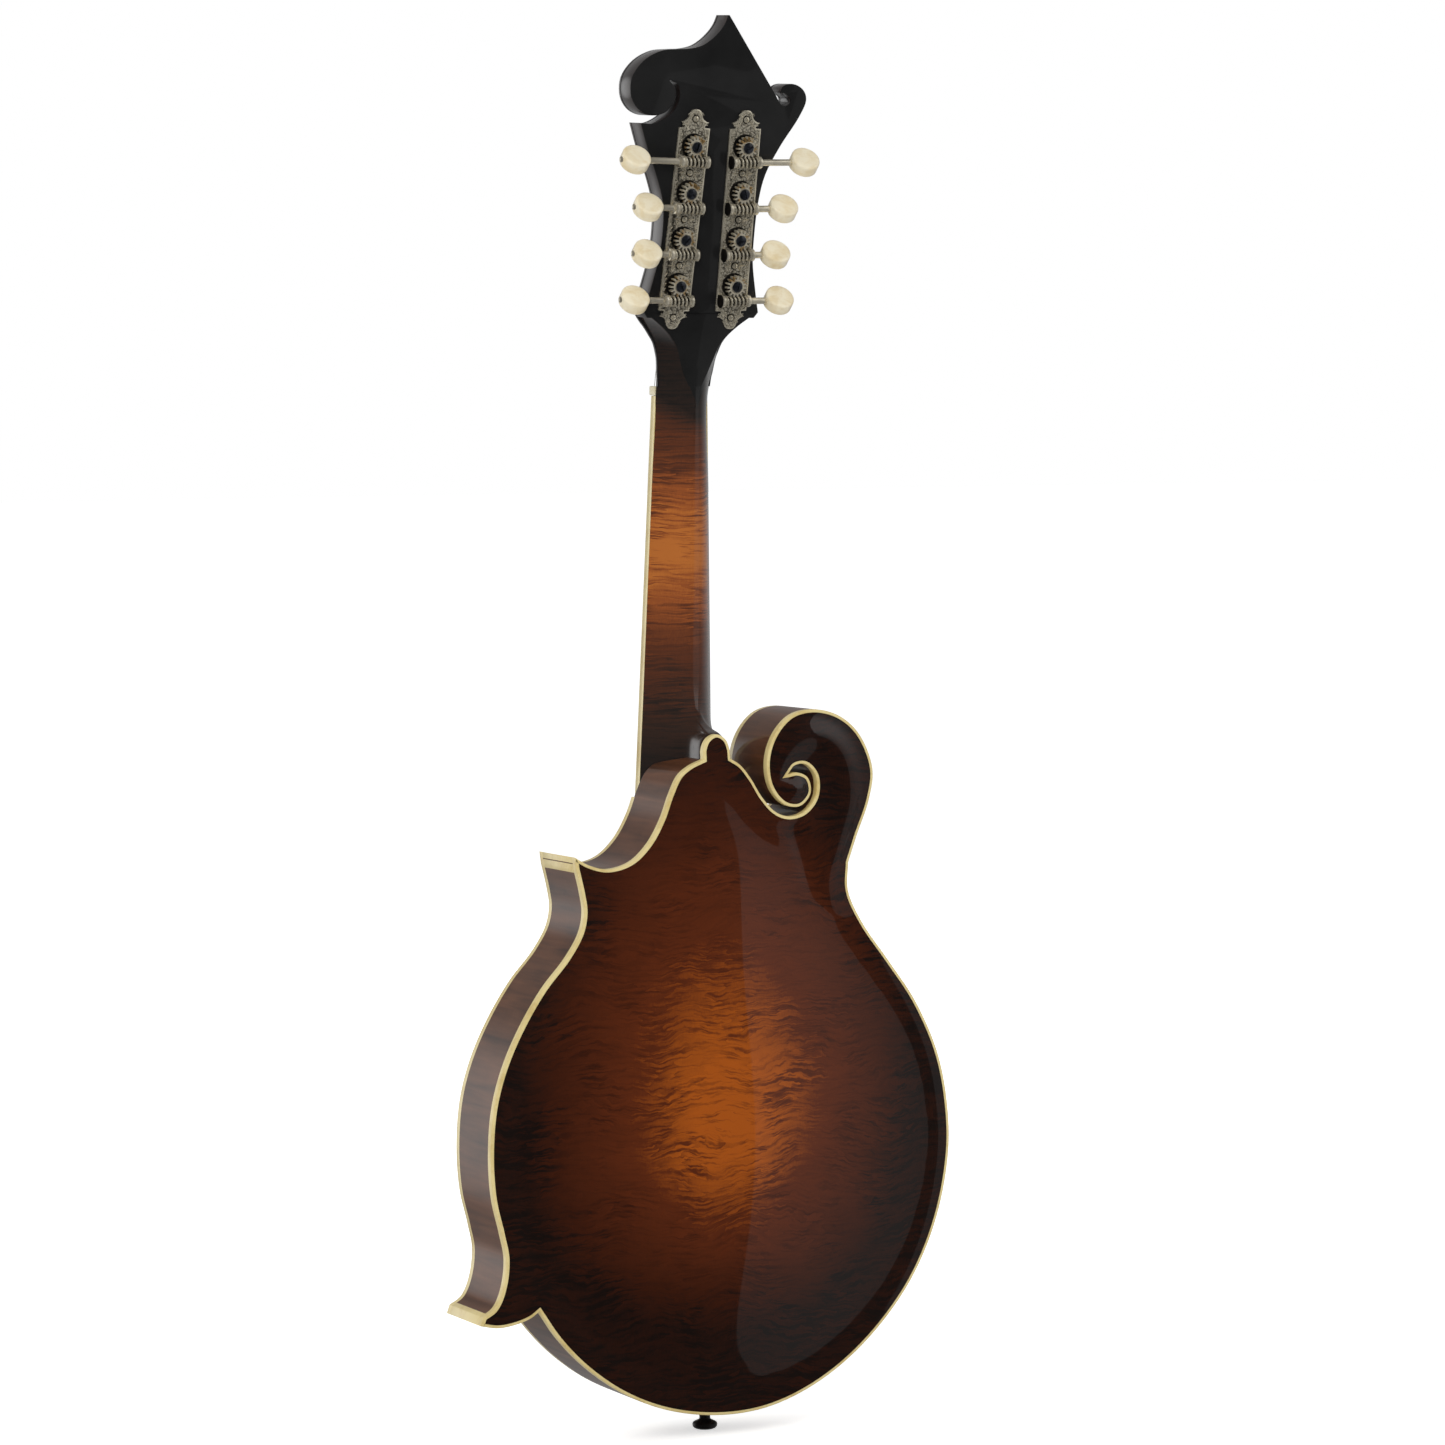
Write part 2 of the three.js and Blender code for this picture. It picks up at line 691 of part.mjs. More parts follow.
// A tone bar under the top, fitted to the arch.
function toneBar(side) {
  const half = barWidth / 2;
  const outline = [[barSpreadFoot - half, barFoot], [barSpreadFoot + half, barFoot],
    [barSpreadTop + half, barTop], [barSpreadTop - half, barTop]]
    .map(([x, z]) => new THREE.Vector2(side * x, z));
  const under = arch(inset(innerArchEdge, glueGap), topInnerRise - glueGap, -innerDepth, -1);
  const lower = slab(innerArchEdge, -innerDepth, -innerDepth + barDrop);
  return slab(outline, domeTop, -innerDepth + barDrop).intersect(join(under, lower));
}

// Neck

function boardFace(height) {
  return boardFaceAtNut + (height - nutHeight) * boardRise;
}

function boardHalf(height) {
  return boardHalfAtNut + (nutHeight - height) * boardTaper;
}

const underBoard = boardThickness / Math.cos(boardTilt) + glueGap;
const buttonSeat = innerDepth - glueGap;

// The headstock's half width at a height, from a table of its foot.
function footHalf(shares, up) {
  const [first, ...rest] = shares.map(([x, z]) => [x * headWidth, z * headLength]);
  let low = first;
  for (const high of rest) {
    if (up <= high[1]) {
      return low[0] + (high[0] - low[0]) * Math.max(up - low[1], 0) / (high[1] - low[1]);
    }
    low = high;
  }
  return low[0];
}

// A section of the neck: flat in front, with a back that blends from round to the heel's narrow form.
function neckSection(front, half, back, backHalf, heelShare) {
  const side = neckBackShares.map(([deep, wide], i) => {
    const [heelDeep, heelWide] = heelBackShares[i];
    const width = half * (wide + (heelWide - wide) * heelShare);
    return [Math.max(width, backHalf), front + (back - front) * (deep + (heelDeep - deep) * heelShare)];
  });
  const tip = Math.max(backHalf * 0.9, half * 0.05);
  const right = [[half, front], ...side, [tip, back]];
  return [...right.map(([x, y]) => [-x, y]), ...right.reverse()];
}

function neckBack(height) {
  return boardFace(height) + underBoard + neckDepthAtNut + (nutHeight - height) * neckDepthGrowth;
}

function neckRings() {
  const rings = [];
  const add = (height, depthOut, backHalf) => {
    const front = boardFace(height) + underBoard;
    const plain = neckBack(height);
    const heelShare = Math.min(Math.max((depthOut - plain) / (buttonSeat - plain), 0), 1);
    const section = neckSection(front, boardHalf(height), depthOut, backHalf, heelShare);
    rings.push(section.map(([x, y]) => new THREE.Vector3(x, y, height)));
  };
  const buttonFoot = buttonShares[0][1] * bodyLength;
  for (const height of [heelFoot, buttonFoot - tenonLength, buttonFoot]) {
    add(height, buttonSeat, heelBackHalf);
  }
  for (const [rise, width] of heelButtonShares) {
    add(buttonFoot + (heelTop - buttonFoot) * rise, buttonSeat, heelBackHalf * width);
  }
  for (const [along, rise, width] of heelSweepShares) {
    const height = heelTop + heelSweep * along;
    add(height, neckBack(height) + (buttonSeat - neckBack(height)) * rise, heelBackHalf * width);
  }
  const neckTop = nutHeight - glueGap;
  for (const share of [0.5, 1]) {
    const height = heelTop + heelSweep + (neckTop - heelTop - heelSweep) * share;
    add(height, neckBack(height), 0);
  }
  for (const share of [0.1, 0.3, 0.5, 0.65, 0.8, 1]) {
    const up = faceFoot + (headFoot - faceFoot + overrun) * share;
    rings.push(headSection(up));
  }
  return rings;
}

// A section of the headstock's foot, from its front half width to the narrower black back.
function headSection(up) {
  const front = footHalf(headFootShares, up - headWallSlant * headCore) - glueGap;
  const back = Math.min(footHalf(headBackShares, up), front);
  const section = [[front, -headCore]];
  for (const share of [0.12, 0.35, 0.6, 0.82, 0.96]) {
    section.push([front + (back - front) * share, -headCore * (1 - share)]);
  }
  section.push([back * 0.96, 0]);
  const left = section.map(([x, n]) => [-x, n]);
  return [...left, ...section.reverse()].map(([x, n]) => new THREE.Vector3(x, n, up + headWallSlant * n)
    .applyMatrix4(headFrame));
}

// Moves a solid's geometry from the headstock's axes to the body's.
const headFrame = new THREE.Matrix4().makeRotationX(-headTilt)
  .setPosition(0, headOriginBack, headOriginHeight);
const boardFrame = new THREE.Matrix4().makeRotationX(-boardTilt)
  .setPosition(0, boardFaceAtNut, nutHeight);

function framed(solid, frame) {
  const geometry = geometryOf(solid);
  geometry.applyMatrix4(frame);
  return solidOf(geometry);
}

function mirrored(points) {
  return points.map((p) => new THREE.Vector2(-p.x, p.y)).reverse();
}

const headUpper = [
  ...smooth(scaled(headCurlShares, headWidth, headLength), 1.2),
  ...smooth(scaled(headEyeShares, headWidth, headLength), 1),
  ...scaled(headTipShares, headWidth, headLength),
  ...smooth(scaled(headLobeShares, headWidth, headLength), 1.2),
  ...smooth(scaled(headSlotShares, headWidth, headLength), 1.2),
  ...smooth(scaled(headLobeSideShares, headWidth, headLength), 1),
];

// One side of the headstock's foot, from a height up to the corner and without it.
function footSide(low) {
  const steps = 5;
  const shares = headFootShares.slice(0, -1).filter(([, z]) => z * headLength > low);
  const side = scaled(shares, -headWidth, headLength);
  const half = footHalf(headFootShares, low);
  return [new THREE.Vector2(-half, low), ...side.slice(-steps - 1)];
}

function headOutline(low) {
  const side = footSide(low);
  return [...side, ...headUpper, scaled(headFootShares.slice(-1), headWidth, headLength)[0], ...mirrored(side)];
}

// A slab of the headstock, whose walls slant along the headstock from its back to its front.
function headSlab(outline, front, back) {
  const geometry = slabGeometry(outline, front, back);
  const slant = new THREE.Matrix4().set(1, 0, 0, 0, 0, 1, 0, 0, 0, headWallSlant, 1, 0, 0, 0, 0, 1);
  geometry.applyMatrix4(slant);
  return solidOf(geometry);
}

// Places of the tuning machines on the headstock

function bankFrame(side) {
  const lean = -side * Math.atan(bankLean);
  return new THREE.Matrix4().makeRotationY(lean).setPosition(side * bankAcross, 0, 0);
}

function postHoles(radius, low, high) {
  const holes = [];
  for (const side of [1, -1]) {
    for (let row = 0; row < rowCount; row += 1) {
      const hole = rod('y', radius, [0, low, topRow - row * rowSpacing], high - low, 10);
      holes.push(framed(hole, bankFrame(side)));
    }
  }
  return holes;
}

const postHoleRadius = postRadius + runningGap * 3;

function neck() {
  const shaft = solidOf(ringSurface(neckRings()));
  const core = framed(headSlab(headOutline(headFoot), -headCore, 0), headFrame);
  const bodySpace = slab(inset(topOutline, -glueGap), -halfDepth - glueGap, bodyWidth);
  const tenon = slab(tenonOutline(0), -innerDepth + glueGap, -innerDepth + tenonDepth);
  const channelHalf = rodRadius + glueGap;
  const channel = framed(box([-channelHalf, channelHalf],
    [0, boardThickness + glueGap + channelHalf * 2], [-rodLength - glueGap, rodNutLength * 2]), boardFrame);
  const pocket = framed(box([-rodPocketHalf, rodPocketHalf],
    [-headThickness - overrun, -headCore + rodNutRadius], [rodPocketFoot, rodPocketTop]), headFrame);
  const holes = postHoles(postHoleRadius, -headThickness, overrun).map((hole) => framed(hole, headFrame));
  return cut(join(cut(join(shaft, core), bodySpace), tenon), channel, pocket, ...holes);
}

function headstockFace() {
  const pocket = box([-rodPocketHalf, rodPocketHalf], [-headThickness - overrun, 0],
    [rodPocketFoot, rodPocketTop]);
  const foot = faceFoot + headWallSlant * headThickness;
  return cut(headSlab(headOutline(foot), -headThickness, -headCore - glueGap), pocket,
    ...postHoles(postHoleRadius, -headThickness - overrun, 0));
}

function trussRod() {
  const middle = boardThickness + glueGap * 2 + rodRadius;
  const bar = rod('z', rodRadius, [0, middle, -rodLength], rodLength + rodNutLength, 8);
  const nut = rod('z', rodNutRadius - glueGap * 4, [0, middle, rodNutLength - glueGap],
    rodNutLength, 6);
  return join(bar, nut);
}

// Fingerboard, its binding and the nut, on the board's own axes with its face at zero

function boardOutline(edge) {
  const half = (z) => boardHalfAtNut - z * boardTaper - edge;
  const low = -boardLength + edge;
  return [[-half(low), low], [half(low), low], [half(0), 0], [-half(0), 0]]
    .map(([x, z]) => new THREE.Vector2(x, z));
}

function fingerboard() {
  let board = slab(boardOutline(boardBinding + glueGap / 2), 0, boardThickness);
  for (let fret = 1; fret <= fretCount; fret += 1) {
    const z = -scaleLength * (1 - 2 ** (-fret / 12));
    const half = boardHalfAtNut - z * boardTaper - boardBinding * 1.5;
    board = board.add(box([-half, half], [-fretHeight, boardThickness / 2],
      [z - fretWidth / 2, z + fretWidth / 2]));
  }
  return board;
}

function fingerboardBinding() {
  const inner = boardOutline(boardBinding);
  inner[2].y = overrun;
  inner[3].y = overrun;
  return cut(slab(boardOutline(0), 0, boardThickness), slab(inner, -overrun, boardThickness + overrun));
}

function nut() {
  const half = boardHalfAtNut + nutOverhang;
  return box([-half, half], [-nutProud, boardThickness - glueGap], [glueGap, glueGap + nutThickness]);
}

// Tuning machines, on the headstock's axes with each bank turned to its own lean

function plateOutline() {
  const quarter = scaled(plateEndShares, plateWidth, plateLength);
  const upper = [...quarter, ...mirrored(quarter).slice(1)];
  const lower = upper.map((p) => new THREE.Vector2(-p.x, -p.y));
  return [...upper, ...lower].map((p) => new THREE.Vector2(p.x, p.y + plateMiddleHeight));
}

const lugAt = wormTurns * wormLead / 2 + collarWidth + runningGap * 3;
const lugRadius = wormPitchRadius + toothRise + glueGap;

function lugGeometry() {
  const shape = new THREE.Shape();
  shape.moveTo(-lugRadius, plateThickness / 2 - wormHeight);
  shape.lineTo(lugRadius, plateThickness / 2 - wormHeight);
  shape.absarc(0, 0, lugRadius, 0, Math.PI, false);
  const hole = new THREE.Path();
  hole.absarc(0, 0, flatsAt(shaftRadius + runningGap, shaftSides), 0, Math.PI * 2, true);
  shape.holes.push(hole);
  const geometry = new THREE.ExtrudeGeometry(shape,
    { depth: lugThickness, bevelEnabled: false, curveSegments: shaftSides / 2 });
  geometry.applyMatrix4(new THREE.Matrix4().makeBasis(
    new THREE.Vector3(0, 0, 1), new THREE.Vector3(0, 1, 0), new THREE.Vector3(1, 0, 0)));
  geometry.scale(1, 1, -1);
  return geometry;
}

function turnedOutwards(geometry) {
  const index = Array.from(mergeVertices(geometryWithoutExtras(geometry)).index.array);
  const merged = mergeVertices(geometryWithoutExtras(geometry));
  const position = merged.attributes.position;
  const points = [];
  for (let i = 0; i < position.count; i += 1) {
    points.push(new THREE.Vector3().fromBufferAttribute(position, i));
  }
  const faces = [];
  for (let i = 0; i < index.length; i += 3) faces.push(index.slice(i, i + 3));
  return closedSurface(points, faces);
}

function geometryWithoutExtras(geometry) {
  const clean = geometry.clone();
  clean.deleteAttribute('normal');
  if (clean.attributes.uv) clean.deleteAttribute('uv');
  return clean;
}

function tunerPlate() {
  const lug = solidOf(turnedOutwards(lugGeometry()));
  let plate = slab(plateOutline(), glueGap, plateThickness);
  for (let row = 0; row < rowCount; row += 1) {
    const gearHeight = topRow - row * rowSpacing;
    for (const inner of [lugAt, -lugAt - lugThickness]) {
      plate = plate.add(lug.translate([inner, wormHeight, gearHeight - wormDrop]));
    }
    plate = plate.subtract(rod('y', postHoleRadius, [0, -overrun, gearHeight], overrun * 3, 10));
  }
  return plate;
}

function gearOutline() {
  const points = [];
  const tip = gearPitchRadius + toothRise;
  const root = wormDrop - wormPitchRadius - toothRise - glueGap;
  for (let tooth = 0; tooth < gearTeeth; tooth += 1) {
    const middle = -Math.PI / 2 + (tooth + 0.5) * 2 * Math.PI / gearTeeth;
    const add = (radius, across) => {
      const angle = middle + across / radius;
      points.push(new THREE.Vector2(radius * Math.cos(angle), radius * Math.sin(angle)));
    };
    add(root, -toothWidth / 2 - toothFlare / 2);
    add(tip, -toothWidth / 2 + toothFlare / 2);
    add(tip, toothWidth / 2 - toothFlare / 2);
    add(root, toothWidth / 2 + toothFlare / 2);
  }
  return points;
}

// A gear with its screw and the string post that it turns, standing at the bank's zero height.
function postGear() {
  const foot = wormHeight - gearThickness / 2;
  const head = wormHeight + gearThickness / 2;
  const low = -headThickness - postStand;
  const wheel = slab(gearOutline(), foot, head);
  const boss = rod('y', gearBossRadius, [0, head - overrun / 2, 0], gearBossHeight + overrun / 2, 10);
  const screw = rod('y', gearScrewRadius, [0, head, 0], gearBossHeight + gearScrewHeight, 8);
  const hub = rod('y', hubRadius, [0, -overrun, 0], foot + overrun * 1.5, 8);
  const post = rod('y', postRadius, [0, low, 0], plateThickness - low, 10);
  return join(wheel, boss, screw, hub, post);
}

// The threaded core of a worm, built round by round as one surface that winds along X.
function threadedCore(halfLength) {
  const stepsPerTurn = 8;
  const turns = wormTurns + 1;
  const root = wormPitchRadius - toothRise - glueGap;
  const crest = wormPitchRadius + toothRise;
  const wide = (toothWidth + toothFlare) / 2;
  const narrow = (toothWidth - toothFlare) / 2;
  const profile = [[-wide, root], [-narrow, crest], [narrow, crest], [wide, root]];
  const perStep = turns * profile.length;
  const points = [];
  for (let step = 0; step < stepsPerTurn; step += 1) {
    const turned = step / stepsPerTurn;
    const angle = Math.PI / 2 + 2 * Math.PI * turned;
    for (let turn = 0; turn < turns; turn += 1) {
      const x = (turn + turned - Math.floor(turns / 2)) * wormLead;
      for (const [along, radius] of profile) {
        points.push(new THREE.Vector3(x + along, radius * Math.cos(angle), radius * Math.sin(angle)));
      }
    }
  }
  const faces = [];
  for (let step = 0; step < stepsPerTurn; step += 1) {
    const last = step === stepsPerTurn - 1;
    const shift = last ? profile.length : 0;
    const next = last ? 0 : (step + 1) * perStep;
    for (let i = 0; i < perStep - 1 - shift; i += 1) {
      const a = step * perStep + i;
      const b = next + i + shift;
      faces.push([a, b, a + 1], [a + 1, b, b + 1]);
    }
  }
  const foot = points.length;
  points.push(new THREE.Vector3(-turns * wormLead, 0, 0), new THREE.Vector3(turns * wormLead, 0, 0));
  const low = [];
  const high = [];
  for (let step = 0; step < stepsPerTurn; step += 1) {
    low.push(step * perStep);
    high.push((step + 1) * perStep - 1);
  }
  for (let i = profile.length; i > 0; i -= 1) low.push(i);
  const lastStep = (stepsPerTurn - 1) * perStep;
  for (let i = 1; i <= profile.length; i += 1) high.push(lastStep + perStep - 1 - i);
  low.forEach((point, i) => faces.push([foot, low[(i + 1) % low.length], point]));
  high.forEach((point, i) => faces.push([foot + 1, point, high[(i + 1) % high.length]]));
  return solidOf(closedSurface(points, faces))
    .intersect(box([-halfLength, halfLength], [-crest * 2, crest * 2], [-crest * 2, crest * 2]));
}

// A worm on its shaft, turning about X, with its outer end towards one side.
function worm(side, reach) {
  const end = lugAt - runningGap;
  const outer = reach - buttonRadius + buttonDepth;
  const inner = lugAt + lugThickness;
  const start = side > 0 ? -inner : -outer;
  const shaft = rod('x', shaftRadius, [start, 0, 0], inner + outer, shaftSides);
  const collar = (x) => rod('x', wormPitchRadius + toothRise, [x, 0, 0], collarWidth, shaftSides);
  return join(threadedCore(end - collarWidth / 2), shaft, collar(end - collarWidth), collar(-end));
}

function button(side) {
  const half = buttonThickness / 2;
  const profile = [[0, -half], [buttonRadius * 0.78, -half], [buttonRadius, -half * 0.45],
    [buttonRadius, half * 0.45], [buttonRadius * 0.78, half], [0, half]]
    .map(([x, y]) => new THREE.Vector2(x, y));
  const disc = solidOf(new THREE.LatheGeometry(profile, 14));
  const start = side > 0 ? -buttonRadius - overrun : buttonRadius - buttonDepth - glueGap;
  return cut(disc, rod('x', flatsAt(shaftRadius + runningGap, shaftSides), [start, 0, 0],
    buttonDepth + overrun + glueGap, shaftSides));
}

function addTuners(head) {
  for (const side of [1, -1]) {
    const bank = new THREE.Group();
    bank.applyMatrix4(bankFrame(side));
    head.add(bank);
    const label = side > 0 ? 'treble' : 'bass';
    place(bank, `${label}_tuner_plate`, geometryOf(tunerPlate()), nickel);
    for (let row = 0; row < rowCount; row += 1) {
      const gearHeight = topRow - row * rowSpacing;
      const reach = buttonReach[row];
      const gear = place(bank, `${label}_post_gear_${row + 1}`, geometryOf(postGear()), steel);
      gear.position.set(0, 0, gearHeight);
      const screw = place(bank, `${label}_worm_${row + 1}`, geometryOf(worm(side, reach)), nickel);
      screw.position.set(0, wormHeight, gearHeight - wormDrop);
      const knob = place(bank, `${label}_button_${row + 1}`, geometryOf(button(side)), ivory);
      knob.position.set(side * reach, wormHeight, gearHeight - wormDrop);
      knob.rotation.x = buttonTurn;
    }
  }
}

// Bridge

const bridgeTop = domeTop - glueGap - bridgeFootHeight;
const wheelFoot = bridgeTop - saddleTravel - glueGap * 1.5;
const wheelTop = wheelFoot - wheelThickness;
const saddleFoot = wheelTop - glueGap / 2;
const bridgePostTop = saddleFoot - bridgePostInSaddle;

function bridgeBase() {
  const low = bridgeHeight - bridgeWidth / 2;
  const high = bridgeHeight + bridgeWidth / 2;
  const body = box([-bridgeHalf, bridgeHalf], [bridgeTop, -halfDepth], [low, high]);
  const relief = bridgeHalf - bridgeFootLength;
  const under = box([-relief, relief], [domeTop - bridgeFootRelief, -halfDepth + overrun],
    [low - overrun, high + overrun]);
  const carved = arch(inset(archEdge, -glueGap), topArch + glueGap, -halfDepth - glueGap, -1);
  const post = (x) => rod('y', bridgePostRadius, [x, bridgePostTop, bridgeHeight],
    bridgeTop - bridgePostTop + overrun / 2, 10);
  return join(cut(body, under, carved), post(bridgePostAcross), post(-bridgePostAcross));
}

function bridgeSaddle() {
  const half = saddleWidth / 2;
  const crown = saddleCrown / 2;
  const ends = (x) => [[x, saddleFoot, -half], [x, saddleFoot, half], [x, saddleFace, crown],
    [x, saddleFace, -crown]].map(([px, py, pz]) => new THREE.Vector3(px, py, bridgeHeight + pz));
  const body = solidOf(ringSurface([ends(-saddleHalf), ends(saddleHalf)]));
  const boreTop = bridgePostTop - saddleTravel - glueGap;
  const bore = (x) => rod('y', bridgePostRadius + runningGap * 2, [x, boreTop, bridgeHeight],
    saddleFoot - boreTop + overrun, 10);
  return cut(body, bore(bridgePostAcross), bore(-bridgePostAcross));
}

function thumbwheel(x) {
  const outline = [];
  for (let i = 0; i < wheelRidges * 2; i += 1) {
    const radius = wheelRadius - (i % 2) * wheelRidgeDepth;
    const angle = i * Math.PI / wheelRidges;
    outline.push(new THREE.Vector2(radius * Math.cos(angle) + x, radius * Math.sin(angle) + bridgeHeight));
  }
  return cut(slab(outline, wheelTop, wheelFoot),
    rod('y', bridgePostRadius + runningGap * 2, [x, wheelTop - overrun, bridgeHeight],
      wheelThickness + overrun * 2, 10));
}

// Tailpiece, on axes that lie along the strings, and the end pin

const tailFrame = new THREE.Matrix4().makeRotationX(tailTilt)
  .setPosition(0, tailStringFace, tailStringHeight);

function stringAcross(index, course, pair) {
  return (Math.floor(index / 2) - 1.5) * course + (index % 2 - 0.5) * pair;
}

function hookAcross(index) {
  return (index - 3.5) * hookSpacing;
}

function tailpieceBase() {
  const seat = tailSheet;
  const sheetFoot = -tailStringHeight - tailSheet * 1.2;
  let sheet = box([-tailHalf, tailHalf], [seat, seat + tailSheet], [sheetFoot, tailReach]);
  for (let i = 0; i < stringRadii.length * 2; i += 1) {
    const x = hookAcross(i);
    sheet = sheet.add(box([x - hookHalf, x + hookHalf], [-hookHeight, seat + tailSheet / 2],
      [hookFoot, hookFoot + hookLength]));
  }
  const legFront = tailStringFace + tailSheet * 1.5 + tailStringHeight * Math.sin(tailTilt);
  const leg = box([-tailLegHalf, tailLegHalf], [legFront, tailLegEnd], [-glueGap - tailSheet, -glueGap]);
  return join(framed(sheet, tailFrame), leg);
}

function tailpieceCover() {
  const side = tailHalf + glueGap;
  const outside = box([-side - coverSheet, side + coverSheet], [-coverStand, tailSheet * 2],
    [coverFoot, coverFoot + coverLength]);
  const inside = box([-side, side], [-coverStand + coverSheet, overrun * 2],
    [coverFoot - overrun, coverFoot + coverLength + overrun]);
  return cut(outside, inside);
}

function endPin() {
  const profile = [[0, pinShankLength], [pinShankRadius * 0.8, pinShankLength],
    [pinShankRadius, -glueGap], [pinBaseRadius, -glueGap], [pinBaseRadius, -pinLength * 0.12],
    [pinWaistRadius, -pinLength * 0.42], [pinFlangeRadius * 0.9, -pinLength * 0.58],
    [pinFlangeRadius, -pinLength * 0.72], [pinFlangeRadius, -pinLength * 0.88],
    [pinFlangeRadius * 0.75, -pinLength], [0, -pinLength]].map(([x, z]) => new THREE.Vector2(x, z));
  const geometry = new THREE.LatheGeometry(profile, 14);
  geometry.rotateX(Math.PI / 2);
  geometry.translate(pinAcross, pinBack, 0);
  return geometryOf(solidOf(turnedOutwards(geometry)));
}

// Strings

function stringTube(points, radius) {
  const sides = 6;
  const rings = points.map((point, i) => {
    const before = points[Math.max(i - 1, 0)];
    const after = points[Math.min(i + 1, points.length - 1)];
    const along = after.clone().sub(before).normalize();
    const up = new THREE.Vector3(1, 0, 0).cross(along).normalize();
    const across = along.clone().cross(up);
    const ring = [];
    for (let side = 0; side < sides; side += 1) {
      const angle = side * 2 * Math.PI / sides;
      ring.push(point.clone().addScaledVector(up, radius * Math.cos(angle))
        .addScaledVector(across, radius * Math.sin(angle)));
    }
    return ring;
  });
  return ringSurface(rings);
}

// The strings from the bass side to the treble side, with the outer pairs on the lower posts.
function stringPath(index) {
  const radius = stringRadii[Math.floor(index / 2)];
  const lift = radius + runningGap;
  const saddleX = -stringAcross(7 - index, courseAtSaddle, pairAtSaddle);
  const nutX = -stringAcross(7 - index, courseAtNut, pairAtNut);
  const hook = new THREE.Vector3(hookAcross(index), 0, hookFoot + hookLength + glueGap + radius)
    .applyMatrix4(tailFrame);
  const half = saddleCrown / 2 + glueGap;
  const saddle = [-half, half].map((z) => new THREE.Vector3(saddleX, saddleFace - lift, bridgeHeight + z));
  const nutEdge = [0, nutThickness + glueGap * 2].map((z) => new THREE.Vector3(nutX, -nutProud - lift, z)
    .applyMatrix4(boardFrame));
  const side = index < 4 ? -1 : 1;
  const fromEdge = index < 4 ? index : 7 - index;
  const row = rowCount - 1 - fromEdge;
  const post = new THREE.Vector3(-side * (postRadius + glueGap + radius), 0, topRow - row * rowSpacing)
    .applyMatrix4(bankFrame(side));
  post.y = -headThickness - stringOnPost;
  return [hook, ...saddle, ...nutEdge, post.applyMatrix4(headFrame)];
}

function addStrings() {
  const names = ['g_string_outer', 'g_string_inner', 'd_string_outer', 'd_string_inner',
    'a_string_inner', 'a_string_outer', 'e_string_inner', 'e_string_outer'];
  names.forEach((name, i) => {
    const material = i < 4 ? bronze : steel;
    place(mandolin, name, stringTube(stringPath(i), stringRadii[Math.floor(i / 2)]), material);
  });
}

// The whole instrument

place(mandolin, 'back_plate', geometryOf(backPlate()), backMaple);
place(mandolin, 'top_plate', geometryOf(topPlate()), spruce);
place(mandolin, 'rim', geometryOf(rim()), sideMaple);
place(mandolin, 'back_binding', geometryOf(edgeBinding(backOutline, innerDepth, halfDepth)), cream);
place(mandolin, 'top_binding', geometryOf(topBinding()), cream);
place(mandolin, 'upper_point_cap', geometryOf(pointCapSolid(upperPointEnds)), cream);
place(mandolin, 'lower_point_cap', geometryOf(pointCapSolid(lowerPointEnds)), cream);
place(mandolin, 'head_block', geometryOf(headBlock()), innerWood);
place(mandolin, 'tail_block', geometryOf(tailBlock()), innerWood);
place(mandolin, 'upper_point_block', geometryOf(upperPointBlock()), innerWood);
place(mandolin, 'lower_point_block', geometryOf(lowerPointBlock()), innerWood);
place(mandolin, 'bass_tone_bar', geometryOf(toneBar(-1)), innerWood);
place(mandolin, 'treble_tone_bar', geometryOf(toneBar(1)), innerWood);
place(mandolin, 'neck', geometryOf(neck()), neckMaple);
place(mandolin, 'bridge_base', geometryOf(bridgeBase()), ebony);
place(mandolin, 'bridge_saddle', geometryOf(bridgeSaddle()), ebony);
place(mandolin, 'bass_thumbwheel', geometryOf(thumbwheel(-bridgePostAcross)), nickel);
place(mandolin, 'treble_thumbwheel', geometryOf(thumbwheel(bridgePostAcross)), nickel);
place(mandolin, 'tailpiece_base', geometryOf(tailpieceBase()), nickel);
place(mandolin, 'end_pin', endPin(), ebony);

const tail = new THREE.Group();
tail.applyMatrix4(tailFrame);
place(tail, 'tailpiece_cover', geometryOf(tailpieceCover()), nickel);
mandolin.add(tail);

const board = new THREE.Group();
board.applyMatrix4(boardFrame);
place(board, 'fingerboard', geometryOf(fingerboard()), ebony);
place(board, 'fingerboard_binding', geometryOf(fingerboardBinding()), cream);
place(board, 'nut', geometryOf(nut()), boneWhite);
place(board, 'truss_rod', geometryOf(trussRod()), steel);
mandolin.add(board);

const head = new THREE.Group();
head.applyMatrix4(headFrame);
place(head, 'headstock_face', geometryOf(headstockFace()), blackGloss);
addTuners(head);
mandolin.add(head);

addStrings();

export default mandolin;
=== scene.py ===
"""An f-style mandolin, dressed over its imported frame.

Lengths in this file are millimetres on the frame's own axes, with +Z up along the neck, the front
towards -Y and the scroll at -X. They are scaled to metres when a piece is made.
"""

import json
import math
from functools import partial

import bmesh
import bpy
import numpy as np
from bpy.props import FloatProperty, FloatVectorProperty, IntProperty, PointerProperty
from mathutils import Matrix, Vector
from mathutils.geometry import delaunay_2d_cdt

